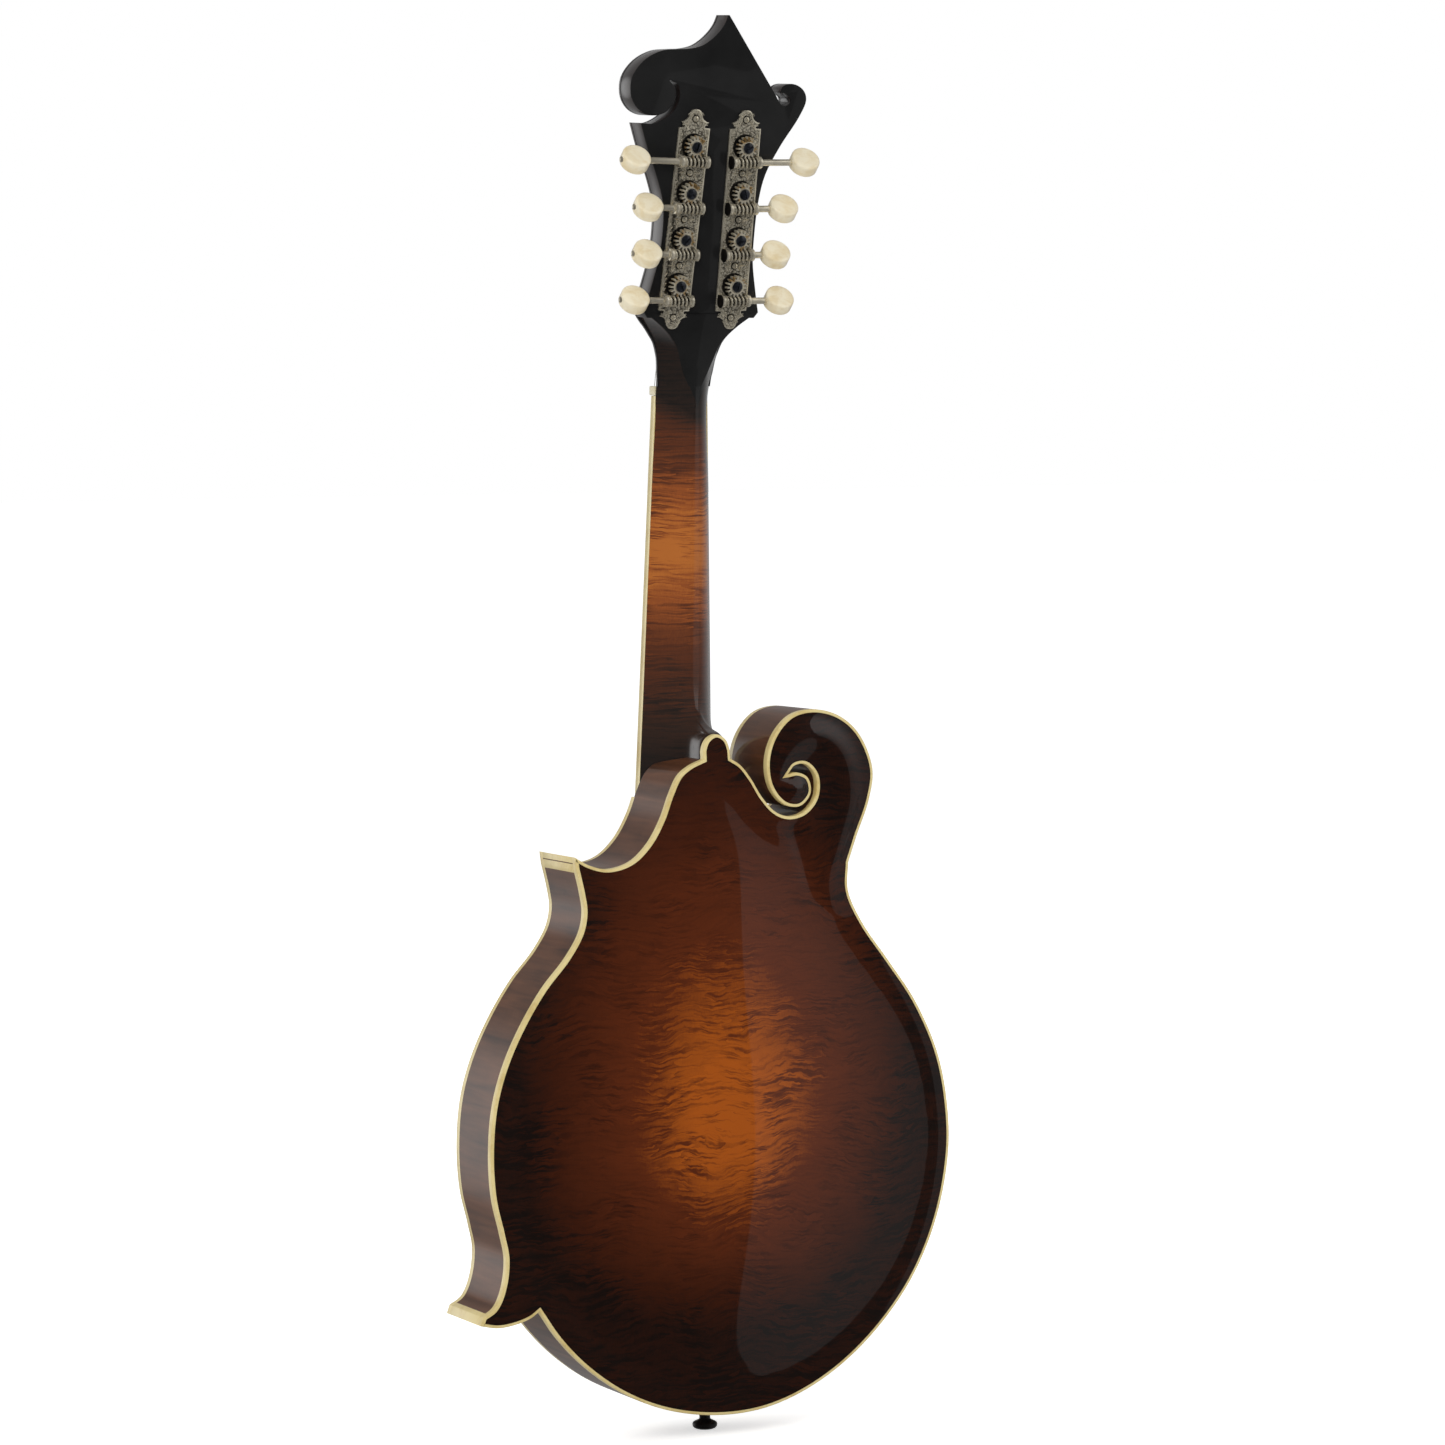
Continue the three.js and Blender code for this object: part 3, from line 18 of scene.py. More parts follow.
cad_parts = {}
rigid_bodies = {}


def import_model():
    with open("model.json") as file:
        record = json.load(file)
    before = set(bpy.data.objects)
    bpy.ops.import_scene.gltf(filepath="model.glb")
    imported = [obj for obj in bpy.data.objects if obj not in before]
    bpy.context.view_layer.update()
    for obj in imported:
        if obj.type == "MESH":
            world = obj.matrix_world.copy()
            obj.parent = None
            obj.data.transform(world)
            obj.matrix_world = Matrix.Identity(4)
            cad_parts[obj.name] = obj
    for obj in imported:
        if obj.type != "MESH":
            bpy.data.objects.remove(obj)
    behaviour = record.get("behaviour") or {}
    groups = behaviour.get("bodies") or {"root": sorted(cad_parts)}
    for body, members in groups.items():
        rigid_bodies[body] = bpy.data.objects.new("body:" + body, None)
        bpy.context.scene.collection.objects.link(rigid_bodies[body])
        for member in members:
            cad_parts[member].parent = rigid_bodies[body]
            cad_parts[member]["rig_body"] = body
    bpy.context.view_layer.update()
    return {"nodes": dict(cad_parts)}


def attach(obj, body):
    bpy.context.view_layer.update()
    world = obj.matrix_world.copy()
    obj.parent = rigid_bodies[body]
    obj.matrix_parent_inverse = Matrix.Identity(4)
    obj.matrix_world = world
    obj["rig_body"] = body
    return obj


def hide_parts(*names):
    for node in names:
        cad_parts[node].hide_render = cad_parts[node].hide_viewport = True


bl_info = {
    "name": "F-Style Mandolin",
    "version": (1, 0, 0),
    "blender": (4, 5, 0),
    "location": "View3D > Sidebar > Mandolin",
    "description": "Carved plates, ribs, bindings, tuning machines and lacquer for an f-style mandolin",
    "category": "Add Mesh",
}

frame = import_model()

MM = 0.001

# Sizes shared with the frame
GLUE_GAP = 0.25
BODY_WIDTH = 252.5
BODY_LENGTH = 349
HALF_DEPTH = 21.5
INNER_DEPTH = 17.5
RIM_WALL = 2.8
BACK_ARCH = 12
TOP_ARCH = 9
BINDING_WIDTH = 1.5
POINT_CAP = 1.8
PLATE_WOOD = 3.6
ARCH_CELL = 2.5
ARCH_MARGIN = 15.5
ARCH_PASSES = 1400
SCROLL_FROM, UPPER_POINT_FROM = (-38, 268), (62, 258)
HOLLOW_AT, HOLLOW_HALF, HOLLOW_DEPTH = 12.5, 5.2, 0.2
CREST_FROM, CREST_RUN, CREST_HALF, CREST_RISE = 238, 45, 6.6, 3.2
VALLEY_FROM, VALLEY_RUN, VALLEY_HALF, VALLEY_DEPTH = 252, 36, 4.2, 2.0
VALLEY = ((-41, 294), (-46, 278), (-53, 254))
SCALE_LENGTH = 352.4
NUT_HEIGHT = 505.4
BOARD_FACE_AT_NUT = -20
BOARD_RISE = 0.059
BOARD_THICKNESS = 5
BOARD_HALF_AT_NUT = 14.3
BOARD_TAPER = 0.029
FRET_COUNT = 22
NUT_THICKNESS = 4.4
NUT_PROUD = 1.6
HEEL_TOP = 338.6
HEEL_SWEEP = 33.4
HEEL_FOOT = 298
HEEL_HALF = 7
UNDER_BOARD = BOARD_THICKNESS / math.cos(math.atan(BOARD_RISE)) + GLUE_GAP
BUTTON_SEAT = INNER_DEPTH - GLUE_GAP
HEAD_TILT = 0.242
HEAD_CORE = 11.3
HEAD_THICKNESS = 13.55
HEAD_WIDTH = 95.8
HEAD_LENGTH = 184.4
HEAD_FOOT = -50
FACE_FOOT = -80.5
VENEER_FOOT = -85.3
WALL_SLANT = 0.17
BANK_ACROSS = 14.7
BANK_LEAN = 0.02
TOP_ROW = 35.8
ROW_SPACING = 23
PLATE_WIDTH = 16.6
PLATE_LENGTH = 109
PLATE_THICKNESS = 1.2
PLATE_FIELD = 1.0
SCREW_DROP = 13.4
BEAD_SPACING = 1.15
WORM_HEIGHT = 4.47
WORM_DROP = 7.364
WORM_LEAD = 2.1
WORM_RADIUS = 2.35
TOOTH_RISE = 0.42
WORM_CREST = WORM_RADIUS + TOOTH_RISE
LUG_AT = 2 * WORM_LEAD + 1.8
LUG_WIDTH = 1.9
GEAR_TEETH = 15
GEAR_LOW, GEAR_HIGH = WORM_HEIGHT - 2.2, WORM_HEIGHT + 1.1
POST_RADIUS = 3
POST_LENGTH = 10.8
BUTTON_REACH = (31.7, 22.1, 19.9, 23.9)
BUTTON_TURN = 0.95
BUTTON_RADIUS = 7.3
BUTTON_HALF = 3.5
DOT_FRETS = (5, 7, 10, 12, 15)
STRING_NAMES = ("g_string_outer", "g_string_inner", "d_string_outer", "d_string_inner",
                "a_string_inner", "a_string_outer", "e_string_inner", "e_string_outer")
STRING_RADII = (0.5, 0.33, 0.2, 0.14)
WINDINGS = 2.6
SADDLE_FACE = -45.8
BRIDGE_HEIGHT = NUT_HEIGHT - SCALE_LENGTH
TAIL_TILT = 0.118
TAIL_FACE = -28.6
TAIL_HEIGHT = 12

SIDES = {"treble": 1, "bass": -1}

# Body outline as shares of the body's width and length, in stretches that meet at corners
BASS_SIDE = [
    (0.393, 0.173), (0.352, 0.130), (0.292, 0.085), (0.213, 0.044), (0.116, 0.014), (0, 0), (-0.107, 0.006),
    (-0.218, 0.036), (-0.325, 0.090), (-0.420, 0.168), (-0.479, 0.255), (-0.508, 0.352), (-0.505, 0.427),
    (-0.483, 0.500), (-0.434, 0.575), (-0.375, 0.635), (-0.316, 0.693), (-0.286, 0.739), (-0.287, 0.779),
]
SCROLL = [
    (-0.287, 0.779), (-0.307, 0.818), (-0.334, 0.867), (-0.343, 0.911), (-0.315, 0.961), (-0.271, 0.989),
    (-0.215, 1.000), (-0.164, 0.993), (-0.127, 0.967), (-0.109, 0.931), (-0.116, 0.892), (-0.147, 0.866),
    (-0.182, 0.863), (-0.205, 0.881), (-0.199, 0.903), (-0.176, 0.911), (-0.155, 0.909),
]
SLOT = [
    (-0.155, 0.909), (-0.170, 0.921), (-0.194, 0.922), (-0.216, 0.905), (-0.215, 0.875), (-0.191, 0.855),
    (-0.158, 0.849), (-0.128, 0.856), (-0.099, 0.877), (-0.074, 0.905), (-0.051, 0.925), (-0.029, 0.935),
]
HEEL_BUTTON = [
    (-0.029, 0.935), (-0.027, 0.949), (-0.018, 0.963), (0.001, 0.970), (0.020, 0.963), (0.029, 0.949),
    (0.029, 0.935),
]
SHOULDER = [
    (0.029, 0.935), (0.059, 0.926), (0.082, 0.913), (0.101, 0.887), (0.120, 0.853), (0.149, 0.819),
    (0.188, 0.795), (0.237, 0.787), (0.277, 0.794), (0.307, 0.806),
]
TREBLE_SIDE = [
    (0.304, 0.789), (0.293, 0.755), (0.288, 0.728), (0.296, 0.700), (0.325, 0.666), (0.376, 0.624),
    (0.425, 0.570), (0.461, 0.516), (0.483, 0.461), (0.491, 0.395), (0.486, 0.335), (0.470, 0.285),
    (0.461, 0.249), (0.469, 0.208), (0.486, 0.183), (0.510, 0.172),
]
UNDER_POINT = [(0.516, 0.160), (0.479, 0.155), (0.440, 0.158), (0.410, 0.165), (0.393, 0.173)]

# Where the top's binding stops beside the neck: left, right and lower end of the neck's cut, as shares
NECK_CUT = (-0.055, 0.106, 0.875)

# The crest that the scroll is carved to, as shares of the body's width and length
SCROLL_CREST = [
    (-0.250, 0.700), (-0.238, 0.755), (-0.262, 0.815), (-0.285, 0.870), (-0.280, 0.918), (-0.252, 0.950),
    (-0.210, 0.962), (-0.170, 0.953), (-0.145, 0.928), (-0.146, 0.902), (-0.162, 0.887), (-0.176, 0.886),
]

# Sound hole, as shares of its width and length
HOLE_ACROSS, HOLE_UP, HOLE_WIDTH, HOLE_LENGTH = 60, 157, 30, 84
HOLE_STEM = [
    (-0.40, 0.46), (-0.24, 0.50), (-0.08, 0.485), (0.04, 0.43), (0.10, 0.33), (0.11, 0.15), (0.10, -0.05),
    (0.07, -0.22), (0.04, -0.34), (0.08, -0.42), (0.20, -0.455), (0.38, -0.45),
]
HOLE_EYES = [((0.42, -0.45), 4.8), ((-0.42, 0.43), 3.9)]

# Headstock outline as shares of its width and length
HEAD_SIDE = [
    (0.150, -0.475), (0.154, -0.437), (0.158, -0.425), (0.168, -0.386), (0.178, -0.368), (0.196, -0.343),
    (0.224, -0.322), (0.255, -0.301), (0.286, -0.283), (0.326, -0.256),
]
HEAD_BACK = [
    (0.040, -0.457), (0.062, -0.429), (0.088, -0.395), (0.102, -0.370), (0.129, -0.338), (0.158, -0.322),
    (0.200, -0.301), (0.262, -0.275), (0.326, -0.256),
]
HEAD_STRETCHES = [
    [
        (-0.326, -0.256), (-0.297, -0.194), (-0.267, -0.118), (-0.260, -0.043), (-0.264, 0.043),
        (-0.288, 0.117),
        (-0.356, 0.194), (-0.448, 0.274), (-0.480, 0.319), (-0.465, 0.343), (-0.424, 0.359), (-0.377, 0.363),
        (-0.338, 0.355), (-0.326, 0.339),
    ],
    [
        (-0.326, 0.339), (-0.357, 0.336), (-0.386, 0.326), (-0.388, 0.312), (-0.365, 0.304), (-0.337, 0.309),
        (-0.303, 0.332),
    ],
    [(-0.303, 0.332), (0.003, 0.541)],
    [(0.003, 0.541), (0.010, 0.541)],
    [
        (0.010, 0.541), (0.023, 0.520), (0.046, 0.500), (0.088, 0.477), (0.140, 0.459), (0.208, 0.450),
        (0.270, 0.448), (0.367, 0.442), (0.459, 0.415), (0.515, 0.370), (0.509, 0.319), (0.457, 0.284),
        (0.380, 0.271), (0.309, 0.281), (0.269, 0.309), (0.267, 0.342), (0.309, 0.367),
    ],
    [
        (0.309, 0.367), (0.257, 0.355), (0.239, 0.323), (0.260, 0.289), (0.313, 0.264), (0.376, 0.250),
        (0.443, 0.251),
    ],
    [
        (0.443, 0.251), (0.392, 0.184), (0.318, 0.100), (0.275, 0.034), (0.263, -0.043), (0.273, -0.119),
        (0.299, -0.190), (0.326, -0.256),
    ],
]

# One quarter of a tuner plate's ornate end, as shares of the plate's width and length
PLATE_END_CORNERS = [(0.5, 0.416), (0.34, 0.417), (0.32, 0.424), (0.446, 0.443)]
PLATE_END_CURVE = [
    (0.446, 0.443), (0.37, 0.445), (0.29, 0.452), (0.235, 0.461), (0.212, 0.470), (0.198, 0.479),
    (0.165, 0.489), (0.115, 0.496), (0.06, 0.499), (0, 0.500),
]

# The neck's back and the heel's, from the fingerboard out, as shares of the depth and of the width
NECK_BACK = [(0.22, 0.87), (0.46, 0.73), (0.68, 0.57), (0.85, 0.39), (0.96, 0.18)]
HEEL_BACK = [(0.22, 0.80), (0.46, 0.56), (0.68, 0.35), (0.85, 0.18), (0.96, 0.07)]
HEEL_SWEEP_SHARES = [
    (0.01, 0.96, 0.5), (0.07, 0.68, 0.4), (0.18, 0.40, 0.26), (0.36, 0.18, 0.1), (0.62, 0.04, 0), (1, 0, 0),
]
HEEL_BUTTON_SHARES = [(0.05, 1), (0.2, 1), (0.6, 0.95), (0.85, 0.78), (0.97, 0.56)]
HEAD_FOOT_SHARES = (0.1, 0.3, 0.5, 0.65, 0.8, 1)

# One half of the truss rod's cover, from its tip down, and the places of its screws
ROD_COVER = [
    (0, 33.5), (2.6, 32.6), (4.6, 30.0), (5.2, 26.5), (5.0, 22.5), (5.6, 18.0), (7.2, 12.5),
    (8.8, 7.0), (9.4, 2.5),
    (9.2, 0),
]
ROD_COVER_FOOT = -84
ROD_COVER_SCREWS = ((0, -55.5), (-6, -81), (6, -81))

# Radius and height of turned forms: the end pin, pieces of the tuning machines, and the board's dots
PIN_SHANK = [(0, 14), (2.56, 14), (3.2, 0)]
PIN_CURVE = [
    (4.1, 0.2), (4.1, -1.06), (3.3, -2.332), (2.7, -4.24), (3.0, -5.512), (4.6, -6.36), (6.0, -7.208),
    (6.2, -8.268), (5.9, -9.328), (4.6, -10.176), (2.4, -10.547), (0, -10.6),
]
BUSHING = [(3.15, 0.4), (5.1, 0.4), (5.1, -0.5), (4.7, -1.0), (3.9, -1.25), (3.15, -1.3), (3.15, 0.4)]
# GEAR_SHADE: a dark disc on the plate round each gear's foot, painted shadow of the gear
GEAR_SHADE = [(6.1, 1.0), (6.0, 1.3), (3.2, 1.3)]
WASHER = [(2.0, 0), (1.95, 0.12), (1.3, 0.12)]
# LUG_CAP: a dark cap on each bearing's inner end, painted shade
LUG_CAP = [(0, -0.1), (3.3, -0.1), (3.3, 0.2), (2.9, 0.42), (0, 0.5)]
BEAD = [(0.36, 1.0), (0.3, 1.16), (0, 1.24)]
GEAR_BOSS = [(0, -0.5), (3.15, -0.5), (3.15, 0.3), (3.02, 0.42), (2.8, 0.42), (2.7, 0.15), (0, 0.15)]
POST_END = [(3, 7.8), (2.55, 6.6), (2.35, 5.3), (2.55, 4.0), (2.95, 3.0), (3, 1.0), (2.6, 0.2), (1.9, 0),
            (0, 0)]
BUTTON_TIP = [(0, 6.9), (1.5, 6.95), (1.5, 7.5), (1.2, 7.95), (0.6, 8.15), (0, 8.2)]
FACE_DOT = [(0, 0.3), (1.9, 0.3), (1.9, -0.03), (1.7, -0.06), (0, -0.07)]
SIDE_DOT = [(0, -0.02), (0.75, -0.02), (0.75, 0.3), (0, 0.3)]

# The neck's stain from its middle out, as display colours
NECK_STAIN = [(186, 108, 46), (154, 82, 38), (98, 52, 31), (56, 40, 33), (36, 32, 30)]

# Stage, in metres and degrees
CAMERA_PLACE = (1.09125, 2.24295, 0.49245)
CAMERA_TURN = (86.575, 0.5487, 153.7426)
WHITE = (1.0, 1.0, 1.0)
FLOOR_HEIGHT = -0.0106
FLOOR_HALF = 30
SOFTBOX_RIGHT, SOFTBOX_LEFT = (-1.133, 2.002), (-2.2, 0.67)
SOFTBOX_HALF = 3


def srgb(red, green, blue):
    """A display colour of 0 to 255, as the linear colour that a shader takes."""
    def linear(value):
        value /= 255
        return value / 12.92 if value <= 0.04045 else ((value + 0.055) / 1.055) ** 2.4
    return tuple(linear(v) for v in (red, green, blue))


# ---------------------------------------------------------------- settings

def colour_setting(name, description, red, green, blue):
    return FloatVectorProperty(name=name, description=description, subtype="COLOR",
                               default=srgb(red, green, blue), min=0, max=1)


def length_setting(name, description, metres, low, high):
    return FloatProperty(name=name, description=description, subtype="DISTANCE", unit="LENGTH",
                         default=metres, min=low, max=high)


class LacquerSettings(bpy.types.PropertyGroup):
    """Colours of the stained and lacquered wood."""
    amber: colour_setting("Amber", "Stain in the middle of the burst", 158, 76, 8)
    russet: colour_setting("Russet", "Stain between the middle and the edge", 98, 40, 7)
    edge: colour_setting("Edge brown", "Stain along the edges", 25, 14, 10)
    rib: colour_setting("Rib brown", "Stain on the ribs", 92, 57, 36)
    black: colour_setting("Headstock black", "Lacquer on the headstock", 31, 31, 31)
    figure: FloatProperty(
        name="Figure", description="Strength of the maple's dark waves", subtype="FACTOR",
        default=0.9, min=0, max=1)
    burst_height: length_setting("Burst height", "Middle of the burst above the tail end", 0.150, 0, 0.3)
    burst_reach: length_setting("Burst reach", "Reach of the burst to each side", 0.108, 0.02, 0.3)


class TrimSettings(bpy.types.PropertyGroup):
    """Bindings, ivory and ebony."""
    binding: colour_setting("Binding", "Aged cream of the bindings", 240, 220, 156)
    ivory: colour_setting("Button ivory", "Colour of the tuner buttons", 254, 243, 214)
    ebony: colour_setting("Ebony", "Fingerboard, bridge and end pin", 30, 26, 24)
    rounding: length_setting("Binding rounding", "Radius of the binding's outer edge", 0.0006, 0.0001, 0.0012)


class HardwareSettings(bpy.types.PropertyGroup):
    """Tuning machines."""
    nickel: colour_setting("Aged nickel", "Metal of the tuner plates", 212, 204, 184)
    patina: colour_setting("Patina", "Dark of the engraving's ground", 66, 60, 48)
    brass: colour_setting("Brass tinge", "Warm metal of the gears", 206, 170, 116)
    rim: length_setting("Plate rim", "Width of the raised rim round a tuner plate", 0.0008, 0.0002, 0.002)
    worm_steps: IntProperty(
        name="Worm steps", description="Facets round each worm", default=28, min=8, max=64)


class StageSettings(bpy.types.PropertyGroup):
    """Lamps and camera."""
    lens: FloatProperty(
        name="Focal length", description="Focal length of the camera, in millimetres", default=125.51,
        min=20, max=300)
    daylight: FloatProperty(
        name="Daylight", description="Level of the light from all round", default=0.62, min=0, max=5)
    softbox: FloatProperty(
        name="Softbox", description="Brightness of the tall softbox at its top", default=0.75, min=0, max=50)
    key: FloatProperty(
        name="Key lamp", description="Power of the wide key lamp", subtype="POWER", unit="POWER",
        default=30, min=0, max=500)


# ---------------------------------------------------------------- outlines

def scaled(shares, width=BODY_WIDTH, length=BODY_LENGTH):
    """Points from shares of a width and a length, the body's unless others are given."""
    return [Vector((x * width, z * length)) for x, z in shares]


def smooth(points, steps, keep_last=False):
    """A smooth line through points, without its last point unless that is asked for."""
    points = [Vector(p) for p in points]
    first = points[0] * 2 - points[1]
    last = points[-1] * 2 - points[-2]
    chain = [first, *points, last]
    line = []
    for i in range(1, len(chain) - 2):
        p0, p1, p2, p3 = chain[i - 1:i + 3]
        d0, d1, d2 = (max((b - a).length, 1e-9) ** 0.5 for a, b in ((p0, p1), (p1, p2), (p2, p3)))
        t1 = ((p1 - p0) / d0 - (p2 - p0) / (d0 + d1) + (p2 - p1) / d1) * d1
        t2 = ((p2 - p1) / d1 - (p3 - p1) / (d1 + d2) + (p3 - p2) / d2) * d1
        c2 = p2 * 3 - p1 * 3 - t1 * 2 - t2
        c3 = p1 * 2 - p2 * 2 + t1 + t2
        for step in range(steps):
            t = step / steps
            line.append(p1 + t1 * t + c2 * t * t + c3 * t ** 3)
    return line + [points[-1]] if keep_last else line


def area(points):
    return sum(a.x * b.y - b.x * a.y for a, b in zip(points, points[1:] + points[:1])) / 2


def inset(points, distance, closed=True):
    """Points moved inwards by a distance with mitred corners, one for each."""
    if not distance:
        return points
    inward = 1 if area(points) > 0 else -1
    n = len(points)
    moved = []
    for i, p in enumerate(points):
        before = points[i - 1] if closed or i else p * 2 - points[1]
        after = points[(i + 1) % n] if closed or i < n - 1 else p * 2 - points[i - 1]
        into = (p - before).normalized()
        away = (after - p).normalized()
        first = Vector((-into.y, into.x))
        middle = (first + Vector((-away.y, away.x))).normalized()
        moved.append(p + middle * (distance * inward / max(middle.dot(first), 0.4)))
    return moved


def without_loops(points):
    """Cuts off the small loops that an inset leaves at tight corners."""
    line = list(points)
    longest_loop = 40
    start = 0
    while start < len(line):
        n = len(line)
        a, b = line[start], line[(start + 1) % n]
        for step in range(min(longest_loop, n // 2), 1, -1):
            c, d = line[(start + step) % n], line[(start + step + 1) % n]
            ab, cd, ac = b - a, d - c, c - a
            turn = ab.x * cd.y - ab.y * cd.x
            if abs(turn) < 1e-12:
                continue
            along = (ac.x * cd.y - ac.y * cd.x) / turn
            across = (ac.x * ab.y - ac.y * ab.x) / turn
            if 0 < along < 1 and 0 < across < 1:
                gone = {(start + k) % n for k in range(1, step + 1)}
                meet = a + ab * along
                line = [meet if i == (start + 1) % n else p for i, p in enumerate(line)
                        if i not in gone or i == (start + 1) % n]
                break
        start += 1
    return line


def body_line(*stretches):
    """The body's outline through stretches that meet at corners, without the last one's end."""
    return [p for shares in stretches for p in smooth(scaled(shares), 7)]


TREBLE_LINE = body_line(TREBLE_SIDE) + scaled(TREBLE_SIDE[-1:])
BASS_LINE = body_line(UNDER_POINT, BASS_SIDE, SCROLL, SLOT)
SHOULDER_LINE = body_line(SHOULDER) + scaled(SHOULDER[-1:])
OVER_NECK = scaled(HEEL_BUTTON[:1]) + SHOULDER_LINE
BACK_LINE = TREBLE_LINE + BASS_LINE + body_line(HEEL_BUTTON) + SHOULDER_LINE
TOP_LINE = TREBLE_LINE + BASS_LINE + OVER_NECK

HEAD_FRAME = Matrix.Translation((0, 19.9, 591.7)) @ Matrix.Rotation(-HEAD_TILT, 4, "X")
BOARD_FRAME = (Matrix.Translation((0, BOARD_FACE_AT_NUT, NUT_HEIGHT))
               @ Matrix.Rotation(-math.atan(BOARD_RISE), 4, "X"))
TAIL_FRAME = Matrix.Translation((0, TAIL_FACE, TAIL_HEIGHT)) @ Matrix.Rotation(TAIL_TILT, 4, "X")


def bank_frame(side):
    """The axes of one bank of tuning machines: across, out of the headstock's back, and up."""
    lean = Matrix.Rotation(-side * math.atan(BANK_LEAN), 4, "Y")
    return HEAD_FRAME @ Matrix.Translation((side * BANK_ACROSS, 0, 0)) @ lean


def bank_place(side, row, across=0, out=0, up=0):
    """A place beside the middle of one row's post, on its bank's axes."""
    return bank_frame(side) @ Matrix.Translation((across, out, TOP_ROW - row * ROW_SPACING + up))


def tuners():
    """Each tuner's label, side and row."""
    return [(label, side, row) for label, side in SIDES.items() for row in range(len(BUTTON_REACH))]


def board_half(z):
    return BOARD_HALF_AT_NUT - z * BOARD_TAPER


# ---------------------------------------------------------------- shapes

class Shape:
    """Points and faces of one piece, gathered from simple forms, each with its own finish."""

    def __init__(self):
        self.points = []
        self.faces = []
        self.finishes = []

    def add(self, form, place=None, finish=0):
        points, faces = form
        base = len(self.points)
        self.points += [place @ Vector(p) for p in points] if place else [Vector(p) for p in points]
        self.faces += [tuple(base + i for i in face) for face in faces]
        self.finishes += [finish] * len(faces)
        return self


def loft(rings, closed=True, caps=True):
    """Rings of points joined one to the next."""
    count = len(rings[0])
    points = [Vector(p) for ring in rings for p in ring]
    faces = []
    for r in range(len(rings) - 1):
        for i in range(count if closed else count - 1):
            a, b = r * count + i, r * count + (i + 1) % count
            faces.append((a, b, b + count, a + count))
    if caps:
        faces.append(tuple(reversed(range(count))))
        faces.append(tuple(range(len(points) - count, len(points))))
    return points, faces


def lathe(profile, sides=32):
    """A turned form about Y, from pairs of radius and height along Y."""
    points = []
    faces = []
    rows = []
    for radius, height in profile:
        if radius <= 0:
            rows.append([len(points)])
            points.append((0, height, 0))
            continue
        rows.append(list(range(len(points), len(points) + sides)))
        for i in range(sides):
            turn = 2 * math.pi * i / sides
            points.append((radius * math.cos(turn), height, radius * math.sin(turn)))
    for low, high in zip(rows, rows[1:]):
        for i in range(sides):
            j = (i + 1) % sides
            face = [low[i % len(low)], low[j % len(low)], high[j % len(high)], high[i % len(high)]]
            kept = [v for k, v in enumerate(face) if v not in face[:k]]
            if len(kept) > 2:
                faces.append(tuple(kept))
    return points, faces


def rounding(radius, steps=3):
    """Pairs of inset and depth round a quarter of a circle."""
    turns = [math.pi / 2 * i / steps for i in range(steps + 1)]
    return [(radius * (1 - math.sin(t)), radius * (1 - math.cos(t))) for t in turns]


def slab(outline, front, back, edge=0.0, slant=0.0):
    """An outline in the XZ plane made thick along Y, with its edges rounded and its walls slanted."""
    corners = rounding(edge) if edge else [(0, 0)]
    levels = [(distance, front + depth) for distance, depth in corners]
    levels += [(distance, back - depth) for distance, depth in reversed(corners)]
    return loft([[(p.x, y, p.y + slant * y) for p in inset(outline, distance)] for distance, y in levels])


def tube(path, radius, sides=12):
    """A round rod along a path of points, with closed ends."""
    path = [Vector(p) for p in path]
    rings = []
    up = None
    for i, p in enumerate(path):
        along = (path[min(i + 1, len(path) - 1)] - path[max(i - 1, 0)]).normalized()
        if up is None:
            up = along.orthogonal().normalized()
        up = (up - along * up.dot(along)).normalized()
        across = along.cross(up)
        size = radius[i] if isinstance(radius, (list, tuple)) else radius
        rings.append([p + up * (size * math.cos(t)) + across * (size * math.sin(t))
                      for t in (2 * math.pi * k / sides for k in range(sides))])
    return loft(rings)


def reaxed(form, order, signs=(1, 1, 1)):
    """A form with its axes in another order, and some of them turned round."""
    points, faces = form
    return [Vector([p[axis] * sign for axis, sign in zip(order, signs)]) for p in points], faces


def along_x(profile, sides=28):
    """A turned form about X, from pairs of radius and place along X."""
    return reaxed(lathe(profile, sides), (1, 0, 2))


def circle(middle, radius, sides=40):
    return [Vector((middle[0] + radius * math.cos(t), middle[1] + radius * math.sin(t)))
            for t in (2 * math.pi * k / sides for k in range(sides))]


def sweep(line, profile, closed=True):
    """A strip along an outline, from a profile of pairs of inset and depth along Y."""
    rings = [[(p.x, depth, p.y) for p in inset(line, distance, closed)] for distance, depth in profile]
    columns = list(map(list, zip(*rings)))
    points, faces = loft(columns, closed=True, caps=not closed)
    if closed:
        n, k = len(columns), len(profile)
        for i in range(k):
            a, b = (n - 1) * k + i, (n - 1) * k + (i + 1) % k
            faces.append((a, b, (i + 1) % k, i))
    return points, faces


def make_piece(name, shape, finishes, body, nodes=(), sharp=38, thickness=0):
    """Makes an object from a shape, gives it its finishes and hangs it on a body of the frame."""
    mesh = bpy.data.meshes.new(name)
    mesh.from_pydata([tuple(p * MM) for p in shape.points], [], shape.faces)
    for finish in finishes:
        mesh.materials.append(finish_named(finish))
    mesh.polygons.foreach_set("material_index", shape.finishes)
    mesh.validate()
    return finish_piece(name, mesh, body, nodes, sharp, thickness)


